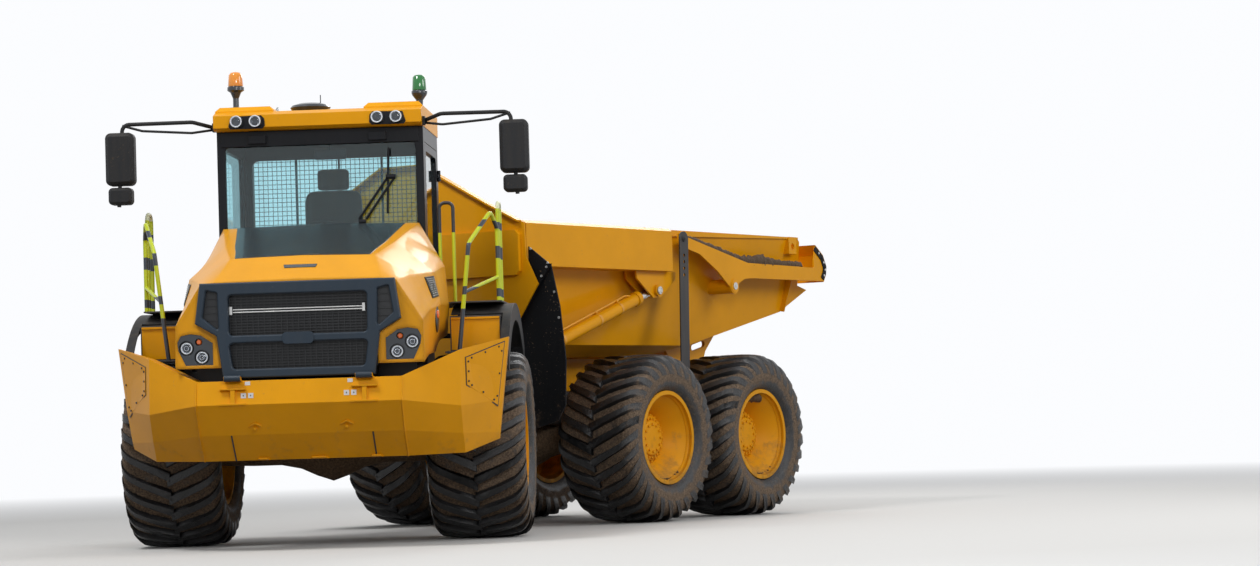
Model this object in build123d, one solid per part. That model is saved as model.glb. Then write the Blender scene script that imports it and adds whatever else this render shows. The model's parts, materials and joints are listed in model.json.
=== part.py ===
from build123d import *
import os
from math import atan2, cos, degrees, hypot, radians, sin

# Articulated dump truck with six driven wheels, in millimetres.
# The front unit faces +X, its left is +Y and up is +Z. The rear unit is laid out straight in
# its own frame, which starts on the ground under the steering pivot, and is then turned.

# Running gear
tyre_diameter = 1500
tyre_width = 800
bead_radius = 400
rim_thickness = 18
rim_flange_radius = 418
rim_flange_width = 15
hub_radius = 172
spindle_radius = 90
half_track = 1216
front_axle_to_pivot = 1332
pivot_to_mid_axle = 2508
mid_to_rear_axle = 1593
axle_tube_radius = 105
axle_sleeve = 12
diff_radius = 255
diff_depth = 195
hub_face = 150
running_fit = 0.1
pin_gap = 0.5
eye_gap = 1.0
seat_gap = 0.3

# Frames and the joint between them
articulation = 31.5
rail_inner = 300
rail_width = 100
rail_plate = 16
frame_top = 1180
frame_low = 960
yoke_low = 700
ear_thickness = 60
steer_pin_radius = 45
roll_axis_z = 940
roll_tube_radius = 150
propshaft_radius = 42
rear_frame_top = 1190
rear_frame_low = 900
rear_frame_front = -640
rear_frame_rear = -4760

# Steering cylinders, in plan: the barrel's pin on the front frame, the rod's pin on the hitch
steer_anchor = (-382, 420)
steer_lug = (-120, 330)
steer_cylinder_z = 880
steer_barrel_radius = 52
steer_rod_radius = 28

# Bin
wall = 14
bin_front = -800
floor_z = 1500
floor_edge = 660
chine = (880, 1600)
rail_foot = (1060, 2260)
wall_top = (1170, 2650)
bin_rail_outer = 1285
bin_rail_rear = -3090
chute_start = -3450
lip_start = (-5450, 1930)
lip_end = (-5880, 2150)
wall_rear_low = (-5690, 2190)
wall_rear_top = -5500
headboard_top = (218, 3196)
headboard_knee = (932, 2811)
headboard_bulge = (1415, 2095)
tip_hinge = (-4350, 1210)
hinge_plate_y = 600
tip_base = (-930, 1459)
tip_pin = (-2918, 2085)
tip_y = 1150
tip_barrel_radius = 56
tip_rod_radius = 38

# Tailgate linkage
strap_foot = (-3220, 1270)
strap_top = (-3260, 2560)
gate_pivot = (-4144, 2145)
gate_knee = (-4396, 2369)
gate_end = (-5620, 2352)
arm_outer = 1280
arm_plate = 16
ledge_inner = 1196
strap_width = 140
strap_thickness = 12

# Cab
cab_rear = -800
cab_front = 300
cab_half_width = 835
cab_floor_z = 1800
cab_roof_z = 3330
cab_wall = 50
roof_height = 200
glass = 8
door_gap = 6

# Hood and grille
hood_hinge = (1845, 1315)
hood_hinge_y = 500
hood_skin = 12


def span(x, y, z):
    """A block between two limits on each axis."""
    size = [hi - lo for lo, hi in (x, y, z)]
    middle = [(hi + lo) / 2 for lo, hi in (x, y, z)]
    return Pos(*middle) * Box(*size)


def side_sheet(points, y0, y1):
    """An outline drawn in X and Z, as thick as the space from y0 to y1."""
    outline = Polyline(*[(x, y0, z) for x, z in points], close=True)
    return extrude(make_face(outline), amount=y1 - y0, dir=(0, 1, 0))


def cross_sheet(points, x0, x1):
    """An outline drawn in Y and Z, as thick as the space from x0 to x1."""
    outline = Polyline(*[(x0, y, z) for y, z in points], close=True)
    return extrude(make_face(outline), amount=x1 - x0, dir=(1, 0, 0))


def flat_sheet(points, z0, z1):
    """An outline drawn in plan."""
    outline = Polyline(*[(x, y, z0) for x, y in points], close=True)
    return extrude(make_face(outline), amount=z1 - z0, dir=(0, 0, 1))


def bar(start, end, radius):
    """A round bar between two points."""
    axis = Vector(*end) - Vector(*start)
    return Part() + Solid.make_cylinder(radius, axis.length, Plane(origin=start, z_dir=axis))


def pipe(points, radius, bend):
    """A round tube with the same bend at each corner of its route."""
    route = FilletPolyline(*points, radius=bend)
    return sweep(Plane(origin=route @ 0, z_dir=route % 0) * Circle(radius), path=route)


def turned(profile):
    """A solid of revolution about Y from a closed (across, radius) outline."""
    face = make_face(Polyline(*[(0, w, r) for w, r in profile], close=True))
    return revolve(face, Axis.Y)


def turned_up(profile):
    """A solid of revolution about Z from a closed (radius, height) outline."""
    return revolve(make_face(Polyline(*[(r, 0, z) for r, z in profile], close=True)), Axis.Z)


def rounded(block, axis, radius):
    """The same block with its edges along one axis rounded."""
    return fillet(block.edges().filter_by(axis), radius)


def both_sides(piece):
    return piece + mirror(piece, about=Plane.XZ)


def group(*pieces):
    """Separate solids that share one node."""
    return Compound([solid for piece in pieces for solid in piece.solids()])


axle_z = tyre_diameter / 2
rail_outer = rail_inner + rail_width
pivot = (-front_axle_to_pivot, 0)
mid_axle = -pivot_to_mid_axle
rear_axle = mid_axle - mid_to_rear_axle
beam_centre = (mid_axle + rear_axle) / 2
rear_unit = Pos(pivot[0], 0, 0) * Rot(0, 0, -articulation)
nodes = {}

# Wheels: a wide low-pressure tyre on a deep welded rim, with the planetary hub inside it
crown = tyre_diameter / 2
half_tyre = tyre_width / 2
bead_half = half_tyre - 70
bead_top = rim_flange_radius + 3
tyre_outline = (
    Line((0, -bead_half, bead_radius), (0, bead_half, bead_radius)),
    Line((0, bead_half, bead_radius), (0, bead_half, bead_top)),
    ThreePointArc((0, bead_half, bead_top), (0, half_tyre - 3, crown - 210), (0, half_tyre - 28, crown - 85)),
    Line((0, half_tyre - 28, crown - 85), (0, half_tyre - 75, crown - 24)),
    ThreePointArc((0, half_tyre - 75, crown - 24), (0, 0, crown), (0, 75 - half_tyre, crown - 24)),
    Line((0, 75 - half_tyre, crown - 24), (0, 28 - half_tyre, crown - 85)),
    ThreePointArc((0, 28 - half_tyre, crown - 85), (0, 3 - half_tyre, crown - 210),
                  (0, -bead_half, bead_top)),
    Line((0, -bead_half, bead_top), (0, -bead_half, bead_radius)),
)
tyre = revolve(make_face(Curve() + list(tyre_outline)), Axis.Y)

barrel_inner = bead_radius - rim_thickness
flange_out = bead_half + rim_flange_width
rim = turned([(-flange_out, barrel_inner), (flange_out, barrel_inner), (flange_out, rim_flange_radius),
              (bead_half, rim_flange_radius), (bead_half, bead_radius), (-bead_half, bead_radius),
              (-bead_half, rim_flange_radius), (-flange_out, rim_flange_radius)])
disc_w = -60
rim += turned([(disc_w - 20, barrel_inner + 2), (disc_w - 20, 300), (disc_w, hub_radius - 4),
               (disc_w + 26, hub_radius - 4), (disc_w + 24, 305), (disc_w + 4, barrel_inner + 2)])
hub_back = -230
hub_cap = 28
spindle_end = hub_face - hub_cap - 20
rim += turned([(hub_back, spindle_radius + running_fit), (hub_back, hub_radius - 14),
               (hub_back + 30, hub_radius),
               (hub_face - 60, hub_radius), (hub_face - 10, hub_radius - 45), (hub_face, hub_radius - 60),
               (hub_face, 0), (hub_face - hub_cap, 0), (hub_face - hub_cap, spindle_radius + running_fit)])

axle_places = [("front", 0, None), ("mid", mid_axle, rear_unit), ("rear", rear_axle, rear_unit)]
for row, x, unit in axle_places:
    for side, sign in (("left", 1), ("right", -1)):
        for kind, shape in (("tyre", tyre), ("rim", rim)):
            piece = shape if sign > 0 else mirror(shape, about=Plane.XZ)
            piece = Pos(x, sign * half_track, axle_z) * piece
            nodes[f"{row}_{side}_{kind}"] = unit * piece if unit else piece


def axle_beam(x):
    """A drive axle: a banjo casting that tapers to the tubes, and the spindles in the hubs."""
    reach = half_track + hub_back - 10
    casting = turned([(0, diff_radius), (130, diff_radius - 45), (260, 150),
                      (420, axle_tube_radius + axle_sleeve),
                      (640, axle_tube_radius + axle_sleeve), (reach, axle_tube_radius),
                      (reach, spindle_radius),
                      (half_track + spindle_end, spindle_radius), (half_track + spindle_end, 0), (0, 0)])
    casting &= Box(2 * diff_depth, 4000, 1000)
    casting = both_sides(casting)
    return Pos(x, 0, axle_z) * casting


# Front frame: two box rails, the cross members, and the yoke with the two steering pins
rail_nose = 1560
rail_side = [(rail_nose, frame_low + 60), (rail_nose, frame_top), (-900, frame_top), (-900, frame_low - 20),
             (-700, frame_low), (1200, frame_low)]
rail = side_sheet(rail_side, rail_inner, rail_outer)
pocket = [(rail_nose + 5, frame_low + 60 + rail_plate), (rail_nose + 5, frame_top - rail_plate),
          (-860, frame_top - rail_plate), (-860, frame_low + rail_plate), (1200, frame_low + rail_plate)]
rail -= side_sheet(pocket, rail_inner, rail_outer - rail_plate)
web_inner = rail_outer - rail_plate
engine_foot, gearbox_foot = 1085, 1060
front_pieces = [both_sides(rail)]
for x, low, high in ((rail_nose - 120, frame_low + 70, frame_top - 20),
                     (560, frame_low + 20, engine_foot - seat_gap),
                     (-490, 1000, gearbox_foot - seat_gap)):
    front_pieces.append(span((x - 60, x + 60), (-web_inner, web_inner), (low, high)))

# The yoke narrows behind the rails so that the steering cylinders pass beside it. It is cut at
# its ears and under the rails' webs, and its four layers meet face to face
yoke_half, yoke_boss, yoke_plate, shaft_hole = 215, 130, 20, 95
ear_plan = [(-700, yoke_half), (-900, yoke_half), (pivot[0], yoke_boss), (pivot[0], -yoke_boss),
            (-900, -yoke_half), (-700, -yoke_half)]
yoke = span((-900, -660), (-rail_inner, rail_inner), (frame_top - 24, frame_top))
for z0, z1 in ((yoke_low, yoke_low + ear_thickness), (frame_top - ear_thickness, frame_top)):
    yoke += flat_sheet(ear_plan, z0, z1)
    yoke += Pos(pivot[0], 0, (z0 + z1) / 2) * Cylinder(yoke_boss, ear_thickness)
for x, reach in ((-700, web_inner), (-880, rail_inner)):
    web = span((x - yoke_plate, x + yoke_plate), (-yoke_half, yoke_half), (yoke_low, frame_top))
    web += span((x - yoke_plate, x + yoke_plate), (-reach, reach),
                (frame_low + rail_plate, frame_top - rail_plate))
    yoke += web - Pos(x, 0, roll_axis_z) * Rot(0, 90, 0) * Cylinder(shaft_hole, 60)
yoke += both_sides(side_sheet([(-660, yoke_low), (-660, frame_top), (-900, frame_top), (-900, yoke_low)],
                              yoke_half - yoke_plate, yoke_half))
steer_pin_length = 130
for z0 in (yoke_low, frame_top - steer_pin_length):
    yoke += Pos(pivot[0], 0, z0 + steer_pin_length / 2) * Cylinder(steer_pin_radius, steer_pin_length)
yoke_levels = (yoke_low, yoke_low + ear_thickness, frame_low + rail_plate, frame_top - ear_thickness,
               frame_top)
for low, high in zip(yoke_levels, yoke_levels[1:]):
    front_pieces.append(yoke & span((pivot[0] - 200, 0), (-rail_outer, rail_outer), (low, high)))

# Brackets for the steering barrels hang below the rails
eye_height = 60
anchor_x, anchor_y = steer_anchor
barrel_pin_radius = 25
bracket_half, bracket_plate = 60, 20
bracket_gap = eye_height / 2 + pin_gap
bracket_x = (anchor_x - bracket_half, anchor_x + bracket_half)
bracket_y = (rail_inner + 20, anchor_y + 50)
bracket_low = steer_cylinder_z - bracket_gap - bracket_plate
bracket = span(bracket_x, bracket_y, (frame_low - 16, frame_low))
bracket += span(bracket_x, bracket_y, (bracket_low, bracket_low + bracket_plate))
bracket += span(bracket_x, (bracket_y[0], bracket_y[0] + bracket_plate), (bracket_low, frame_low))
bracket += bar((anchor_x, anchor_y, bracket_low), (anchor_x, anchor_y, frame_low), barrel_pin_radius)
front_pieces.append(both_sides(bracket))

# Towing lugs under the nose, bored upright for a pin that goes in from below
tow_x, tow_y, tow_z, tow_bore, lug_plate = 1380, 335, 880, 26, 40
tow_lug = flat_sheet([(tow_x - 90, tow_y - 55), (tow_x + 30, tow_y - 55), (tow_x + 70, tow_y - 20),
                      (tow_x + 70, rail_outer), (tow_x - 90, rail_outer)], tow_z - lug_plate / 2,
                      tow_z + lug_plate / 2)
tow_lug += span((tow_x - 90, tow_x + 70), (web_inner, rail_outer), (tow_z, frame_top - 80))
tow_lug -= Pos(tow_x, tow_y, tow_z) * Cylinder(tow_bore, lug_plate + 10)
front_pieces.append(both_sides(tow_lug - rail))

# Towers for the suspension struts, and the pedestals under the cab's floor
strut_y, strut_top, tower_plate, cab_floor_plate = 520, 1380, 16, 60
tower = side_sheet([(-150, frame_top - 60), (150, frame_top - 60), (90, strut_top + 30), (40, 1670),
                    (-40, 1670),
                    (-90, strut_top + 30)], rail_outer, rail_outer + tower_plate)
tower += span((-90, 90), (rail_outer, strut_y + 70), (strut_top, strut_top + 24))
front_pieces.append(both_sides(tower))
for x in (-690, 230):
    front_pieces.append(both_sides(span((x - 40, x + 40), (rail_inner + 20, rail_outer - 10),
                                        (frame_top, cab_floor_z - cab_floor_plate))))
nodes["front_frame"] = group(*front_pieces)

# Front axle with its struts and the two leading arms
strut_foot = axle_z + 60
front_axle = axle_beam(0)
strut = bar((0, strut_y, strut_foot), (0, strut_y, 1120), 68) + bar((0, strut_y, 1120),
                                                                    (0, strut_y, strut_top), 48)
front_axle += both_sides(strut)
arm_front = (880, rail_inner + 50)
arm = bar((60, strut_y - 60, axle_z - 40), (arm_front[0], arm_front[1], frame_low - 50), 42)
arm += Pos(arm_front[0], arm_front[1], frame_low - 50) * Cylinder(50, 100)
front_axle += both_sides(arm)
nodes["front_axle"] = front_axle

# Engine, one plain block, and the gearbox with the shafts it drives
nodes["engine_block"] = span((330, 1290), (-285, 285), (engine_foot, 1830))
gearbox = span((-560, 200), (-240, 240), (gearbox_foot, 1420))
gearbox += span((-420, -265), (-150, 150), (roll_axis_z - 70, gearbox_foot + 2))
gearbox += bar((pivot[0] + 60, 0, roll_axis_z), (-415, 0, roll_axis_z), propshaft_radius)
gearbox += bar((-280, 0, 900), (-236, 0, 827), 34)
nodes["gearbox"] = gearbox

# Radiator, carried on the rails behind the grille
radiator = span((1310, 1425), (-560, 560), (frame_top, 1960))
radiator -= span((1300, 1335), (-500, 500), (frame_top + 60, 1900))
nodes["radiator"] = radiator

# Bumper: a folded plate nose with two swept wings
bumper_skin = 14
bumper_half = 780
nose = [(1800, 1297), (1850, 1115), (1700, 886), (1500, 691)]
wing_mid = [(1490, 1491), (1526, 1062), (1400, 850), (1270, 700)]
wing_end = [(1000, 1590), (1010, 1100), (960, 850), (930, 800)]
wing_mid_y, wing_end_y, wing_low_y = 1198, 1533, 1429


def skin_section(outer, y, back, lean=0):
    """One closed (x, z) section of the bumper; the back line sets its depth."""
    pts = [(x, y - lean * (outer[0][1] - z) / 500, z) for x, z in outer]
    pts += [(back, pts[-1][1], outer[-1][1]), (back, pts[0][1], outer[0][1])]
    return make_face(Polyline(*pts, close=True))


def bumper_body(inset):
    """Half of the nose and one wing, drawn in by the plate's thickness."""
    def draw_in(points):
        return [(x - inset * 1.3, z + (-inset if i == 0 else inset if i == len(points) - 1 else 0))
                for i, (x, z) in enumerate(points)]
    reach = 60 if inset else 0
    middle = extrude(skin_section(draw_in(nose), 0, 1440 - reach), amount=bumper_half, dir=(0, 1, 0))
    shoulder = loft([skin_section(draw_in(nose), bumper_half, 1440 - reach),
                     skin_section(draw_in(wing_mid), wing_mid_y, 1200 - reach)], ruled=True)
    tip = loft([skin_section(draw_in(wing_mid), wing_mid_y, 1200 - reach),
                skin_section(draw_in(wing_end), wing_end_y - inset * 1.2, 900 - reach, lean=60)], ruled=True)
    return middle + shoulder + tip


bumper = both_sides(bumper_body(0) - bumper_body(bumper_skin))
bumper += both_sides(side_sheet([(1300, 1040), (1300, 1170), (1430, 1170), (1440, 1290), (1795, 1290),
                                 (1842, 1115),
                                 (1785, 1020), (1440, 980)], rail_outer, rail_outer + rail_plate))
nodes["bumper"] = bumper

# Mudguards over the front wheels, and the service decks between them and the nose
guard_radius, guard_skin = 1130, 8
guard_inner, guard_strip, guard_outer = 1035, 1450, 1520
guard_rear, guard_step, guard_front = -800, 440, 860
across = (guard_inner + guard_outer) / 2
arch = Pos(0, across, axle_z) * Rot(90, 0,
                                    0) * (Cylinder(guard_radius + guard_skin, guard_outer - guard_inner)
                                                 - Cylinder(guard_radius, guard_outer - guard_inner))
mudguard = arch & span((guard_rear, guard_step), (guard_inner, guard_outer), (1400, 2100))
mudguard += arch & span((guard_rear, guard_front), (guard_strip, guard_outer), (1330, 2100))
cheek = Pos(0, guard_outer - guard_skin / 2, axle_z) * Rot(90, 0, 0) * (
    Cylinder(guard_radius, guard_skin) - Cylinder(guard_radius - 130, guard_skin))
mudguard += cheek & span((guard_rear, guard_front), (0, 2000), (1330, 2100))
guard_bar_z = 1640
mudguard += bar((0, rail_outer + tower_plate, guard_bar_z), (0, guard_inner + 30, guard_bar_z), 20)
mudguard += bar((0, guard_inner + 30, guard_bar_z - 20), (0, guard_inner + 30, axle_z + guard_radius + 3), 20)
nodes["mudguards"] = both_sides(mudguard)

deck_z, lower_deck_z, deck_x, deck_sheet = 1780, 1490, 560, 12
deck_inner, deck_outer = 1035, 1440
deck = span((deck_x - deck_sheet, 1000), (deck_inner, deck_outer), (lower_deck_z - deck_sheet, lower_deck_z))
deck += span((deck_x - deck_sheet, deck_x), (deck_inner, deck_outer), (lower_deck_z - deck_sheet, deck_z))
deck += span((guard_step + 8, deck_x), (deck_inner, deck_outer), (deck_z - deck_sheet, deck_z))
deck += side_sheet([(deck_x - deck_sheet, lower_deck_z - 150), (900, lower_deck_z - 150),
                    (940, lower_deck_z - 60),
                    (940, lower_deck_z), (deck_x - deck_sheet, lower_deck_z)], deck_outer - deck_sheet,
                    deck_outer)
deck += span((deck_x - deck_sheet, deck_x + 8), (rail_outer, 780), (frame_top - 80, 1400))
deck += span((deck_x - deck_sheet, deck_x + 8), (700, deck_inner + 5), (1330, 1400))
deck += span((deck_x - deck_sheet, deck_x + 8), (deck_inner, deck_inner + 60), (1330, lower_deck_z))
walk_z = axle_z + guard_radius + guard_skin
walk_top = walk_z + seat_gap + deck_sheet
walkway = span((-560, 330), (cab_half_width + 20, deck_outer), (walk_z + seat_gap, walk_top))
walkway += span((330, guard_step - 20), (deck_inner, deck_outer), (walk_z + seat_gap, walk_top))
nodes["service_decks"] = group(both_sides(deck), both_sides(walkway))

# Fuel tank on the left and hydraulic tank on the right, under the cab
tank_inner, tank_outer = rail_outer + seat_gap, 770
tank = span((-760, -180), (tank_inner, tank_outer), (1000, 1560))
tank = rounded(tank, Axis.X, 40)
nodes["side_tanks"] = both_sides(tank)

# Cab: one welded frame with its windows cut, on a floor plate carried by four pedestals
inner_y = cab_half_width - cab_wall
cab_frame = span((cab_rear, cab_front), (-cab_half_width, cab_half_width), (cab_floor_z, cab_roof_z))
cab_frame -= span((cab_rear + cab_wall, cab_front - cab_wall), (-inner_y, inner_y),
                  (cab_floor_z - 5, cab_roof_z + 5))
screen_post, rear_post, console_gap = 15, 65, 85
screen = ((screen_post - inner_y, inner_y - screen_post), (2400, 3215))
rear_half = inner_y - rear_post
rear_window = ((-rear_half, rear_half), (2480, 3180))
side_window = ((-720, 200), (2180, 3190))
door_x, door_z = (-735, 205), (1915, 3210)
corner, pane_corner = 55, 60
cab_frame -= rounded(span((cab_front - 100, cab_front + 5), *screen), Axis.X, corner)
cab_frame -= rounded(span((cab_rear - 5, cab_rear + 100), *rear_window), Axis.X, corner)
cab_frame -= rounded(span(side_window[0], (-cab_half_width - 5, -inner_y + 5), side_window[1]), Axis.Y,
                     corner)
cab_frame -= span(door_x, (inner_y - 5, cab_half_width + 5), door_z)
hinge_knuckle, hinge_pin_radius = 14, 6
hinge_axis = (door_x[0] - 4, cab_half_width + hinge_knuckle + pin_gap)
for z in (2050, 3000):
    for z0 in (z - 45 - pin_gap, z + 15 + pin_gap):
        cab_frame += Pos(*hinge_axis, z0 + 15) * Cylinder(hinge_knuckle, 30)
        cab_frame += span((door_x[0] - 30, door_x[0] - 6), (cab_half_width - 10, cab_half_width + 16),
                          (z0, z0 + 30))
    cab_frame += Pos(*hinge_axis, z) * Cylinder(hinge_pin_radius, 90)
nodes["cab_frame"] = cab_frame

nodes["cab_floor"] = span((cab_rear, cab_front), (-cab_half_width, cab_half_width),
                          (cab_floor_z - cab_floor_plate, cab_floor_z))

panes = [rounded(span((cab_front - 30, cab_front - 30 + glass), *screen), Axis.X, pane_corner),
         rounded(span((cab_rear + 20, cab_rear + 20 + glass), *rear_window), Axis.X, pane_corner),
         rounded(span(side_window[0], (-cab_half_width + 20, -cab_half_width + 20 + glass), side_window[1]),
                 Axis.Y, pane_corner)]
nodes["cab_glass"] = group(*panes)

# Door, hinged at its rear edge
door = span((door_x[0] + door_gap, door_x[1] - door_gap), (inner_y, cab_half_width),
            (door_z[0] + door_gap, door_z[1] - door_gap))
pane = ((door_x[0] + 75, door_x[1] - 75), (2180, door_z[1] - 70))
door -= rounded(span(pane[0], (inner_y - 5, cab_half_width + 5), pane[1]), Axis.Y, corner)
for z in (2050, 3000):
    door += Pos(*hinge_axis, z) * Cylinder(hinge_knuckle, 30)
    door += span((door_x[0] + door_gap, door_x[0] + 50), (cab_half_width - 2, cab_half_width + 16),
                 (z - 15, z + 15))
    door += span((hinge_axis[0], door_x[0] + 20), (cab_half_width + 4, cab_half_width + 16), (z - 15, z + 15))
    door -= Pos(*hinge_axis, z) * Cylinder(hinge_pin_radius + running_fit, 120)
nodes["cab_door"] = door
nodes["door_glass"] = rounded(span(pane[0], (inner_y + 20, inner_y + 20 + glass), pane[1]), Axis.Y,
                              pane_corner)

# Roof with its raised ends and the visor over the windscreen
roof_top, roof_half, ridge_inner, ridge_slope = cab_roof_z + 155, cab_half_width + 4, 365, 34
roof_profile = [(cab_rear - 35, cab_roof_z), (395, cab_roof_z), (440, cab_roof_z + 20),
                (440, cab_roof_z + 120),
                (330, roof_top), (cab_rear - 35, roof_top)]
roof = side_sheet(roof_profile, -roof_half, roof_half)
ridge = span((cab_rear - 35, 330), (ridge_inner, roof_half), (roof_top - 5, cab_roof_z + roof_height))
roof += both_sides(chamfer(ridge.faces().sort_by(Axis.Z)[-1].edges(), ridge_slope))
nodes["cab_roof"] = roof

# Inside the cab
seat = span((-420, 60), (-240, 240), (2130, 2250)) + span((-520, -400), (-235, 235), (2230, 2880))
seat += span((-330, -30), (-150, 150), (cab_floor_z, 2131)) + span((-500, -420), (-130, 130), (2879, 3060))
nodes["seat"] = seat
console_half = inner_y - console_gap
console = span((120, 249), (-console_half, console_half), (cab_floor_z, 2380))
console += bar((130, 0, 2300), (0, 0, 2480), 28)
ring = Plane(origin=(0, 0, 2480), z_dir=(-130, 0, 180)) * Torus(200, 15)
console += ring
console += Plane(origin=(0, 0, 2480), z_dir=(-130, 0, 180)) * (Box(400, 30, 14) + Cylinder(45, 30))
nodes["dash_and_wheel"] = console

# Guard frame outside the rear window
guard_half, guard_bar = rear_half + 40, 35
guard = span((cab_rear - 45, cab_rear - 21), (-guard_half, guard_half), (2440, 3220)) - span(
    (cab_rear - 50, cab_rear), (guard_bar - guard_half, guard_half - guard_bar), (2475, 3185))
for y in (-rear_half / 2, 0, rear_half / 2):
    guard += span((cab_rear - 45, cab_rear - 21), (y - 8, y + 8), (2450, 3210))
guard_feet = (guard_half - 25, guard_half)
guard += both_sides(span((cab_rear - 22, cab_rear), guard_feet, (2500, 2540)) + span(
    (cab_rear - 22, cab_rear), guard_feet, (3120, 3160)))
nodes["rear_guard"] = guard

# Handrails: a long hoop and a tall hoop on each side, and a grab rail on the door's side
rail_tube = 17
post_y = deck_outer - rail_tube - 5
rail_foot_z = walk_top + seat_gap
hoop = pipe([(960, 1145, lower_deck_z + 2.2), (960, 1238, 2330), (560, 1380, 2600), (400, post_y, 2480),
             (400, post_y, rail_foot_z)], rail_tube, 70)
tall = pipe([(300, post_y, rail_foot_z), (300, post_y, 2690), (130, post_y, 2690),
             (130, post_y, rail_foot_z)],
            rail_tube, 70)
brace = bar((960, 1196, 1950), (400, post_y, 2090), 14)
grab = pipe([(312, 950, rail_foot_z), (312, 950, 2700), (312, 1060, 2700), (312, 1060, rail_foot_z)], 14, 45)
nodes["handrails"] = group(both_sides(hoop + brace), both_sides(tall), grab)

# Mirrors on two tubes each, which leave a foot at the roof's front corner, with two heads on the drop tube
arm_foot = cab_half_width + 4 + seat_gap
arm = pipe([(330, arm_foot + 19, 3370), (470, 1000, 3405), (500, 1560, 3400), (500, 1600, 2740)], 16, 60)
arm += pipe([(330, arm_foot + 19, 3350), (450, 1010, 3320), (496, 1400, 3345), (500, 1560, 3392)], 10, 50)
arm += span((290, 370), (arm_foot, arm_foot + 20), (3332, 3400))
main_head = rounded(span((430, 548), (1467, 1699), (2911, 3335)), Axis.X, 45)
low_head = rounded(span((434, 544), (1490, 1680), (2757, 2895)), Axis.X, 35)
nodes["mirrors"] = both_sides(arm + chamfer(main_head.faces().sort_by(Axis.X)[-1].edges(), 30)
                              + chamfer(low_head.faces().sort_by(Axis.X)[-1].edges(), 22))

# Beacons, aerial and work lamps on the roof
roof_z = cab_roof_z + roof_height + seat_gap
amber = turned_up([(0, 0), (48, 0), (48, 14), (24, 22), (24, 92), (44, 140), (68, 156), (68, 182), (58, 190),
                   (54, 280),
                   (40, 300), (0, 310)])
green = turned_up([(0, 0), (48, 0), (48, 14), (24, 22), (30, 100), (60, 140), (66, 156), (66, 174), (56, 182),
                   (52, 290), (38, 306), (0, 314)])
aerial = turned_up([(0, 0), (120, 0), (150, 24), (165, 50), (150, 68), (95, 84), (0, 92)])
amber_inset, green_inset = 131, 115
lamps = [Pos(100, amber_inset - cab_half_width, roof_z) * amber,
         Pos(-600, cab_half_width - green_inset, roof_z) * green,
         Pos(0, -110, roof_top + seat_gap) * aerial]
work_lamp = rounded(span((440 + seat_gap, 508), (-48, 48), (-34, 34)), Axis.X, 16)
for y in (-642, -490, 490, 642):
    lamps.append(Pos(0, y, cab_roof_z + 64) * work_lamp)
nodes["roof_lamps"] = group(*lamps)

# Hood: one shell that tilts forward with the grille and the headlamps
hood_sections = [
    # x, top z, corner (y, z), shoulder (y, z), side (y, z), foot (y, z)
    (345, 2560, (790, 2545), (985, 2190), (1013, 1870), (985, 1560)),
    (1000, 2370, (670, 2360), (960, 2115), (1013, 1860), (985, 1500)),
    (1450, 2252, (560, 2240), (820, 2075), (965, 1800), (955, 1460)),
    (1735, 2060, (640, 2050), (750, 2030), (945, 1720), (950, 1400)),
]


def hood_section(x, top, points, inset):
    half = [(y - inset, z - inset) for y, z in points[:-1]]
    half.append((points[-1][0] - inset, points[-1][1] - (400 if inset else 0)))
    ring = [(0, top - inset)] + half + [(0, half[-1][1])] + [(-y, z) for y, z in reversed(half)]
    return make_face(Polyline(*[(x, y, z) for y, z in ring], close=True))


outer = loft([hood_section(x, top, pts, 0) for x, top, *pts in hood_sections], ruled=True)
inner_sections = [(345 - 20,) + hood_sections[0][1:]] + hood_sections[1:-1]
inner_sections.append((1735 - hood_skin,) + hood_sections[-1][1:])
inner = loft([hood_section(x, top, pts, hood_skin) for x, top, *pts in inner_sections], ruled=True)
hood = outer - inner
hood -= span((1650, 1800), (-600, 600), (1380, 1990))
lamp_outline = [(660, 1425), (660, 1590), (750, 1652), (830, 1664), (905, 1650), (932, 1600), (925, 1540),
                (870, 1425)]
hood -= both_sides(cross_sheet(lamp_outline, 1600, 1800))
nodes["hood"] = hood

# Grille frame on the hood's front, with two openings and a slanted vent on each side
grille_half = [(0, 2044), (743, 2044), (785, 1738), (622, 1640), (578, 1318), (0, 1318)]
grille = both_sides(cross_sheet(grille_half, 1735, 1790))
for (top_y, top_z), (low_y, low_z) in (((531, 1950), (528, 1640)), ((533, 1583), (505, 1385))):
    opening = cross_sheet([(-top_y, top_z), (top_y, top_z), (low_y, low_z), (-low_y, low_z)], 1700, 1800)
    grille -= rounded(opening, Axis.X, 34)
vent = cross_sheet([(611, 1969), (697, 1990), (728, 1781), (604, 1680)], 1700, 1800)
grille -= both_sides(rounded(vent, Axis.X, 12))
grille = chamfer(grille.faces().sort_by(Axis.X)[-1].edges(), 9)
plaque_half, plaque_z = 120, (1566, 1656)
grille += rounded(span((1740, 1797), (-plaque_half, plaque_half), plaque_z), Axis.X, 32)
hood_pin_x, hood_pin_z = hood_hinge
hood_pin_radius, knuckle_half, knuckle_radius, hinge_ear = 10, 50, 20, 14
for y in (-hood_hinge_y, hood_hinge_y):
    grille += bar((hood_pin_x, y - knuckle_half, hood_pin_z), (hood_pin_x, y + knuckle_half, hood_pin_z),
                  knuckle_radius)
    grille += span((1760, hood_pin_x), (y - knuckle_half, y + knuckle_half),
                   (hood_pin_z + 4, hood_pin_z + knuckle_radius))
    grille -= bar((hood_pin_x, y - 80, hood_pin_z), (hood_pin_x, y + 80, hood_pin_z),
                  hood_pin_radius + running_fit)
nodes["grille_frame"] = grille

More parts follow.
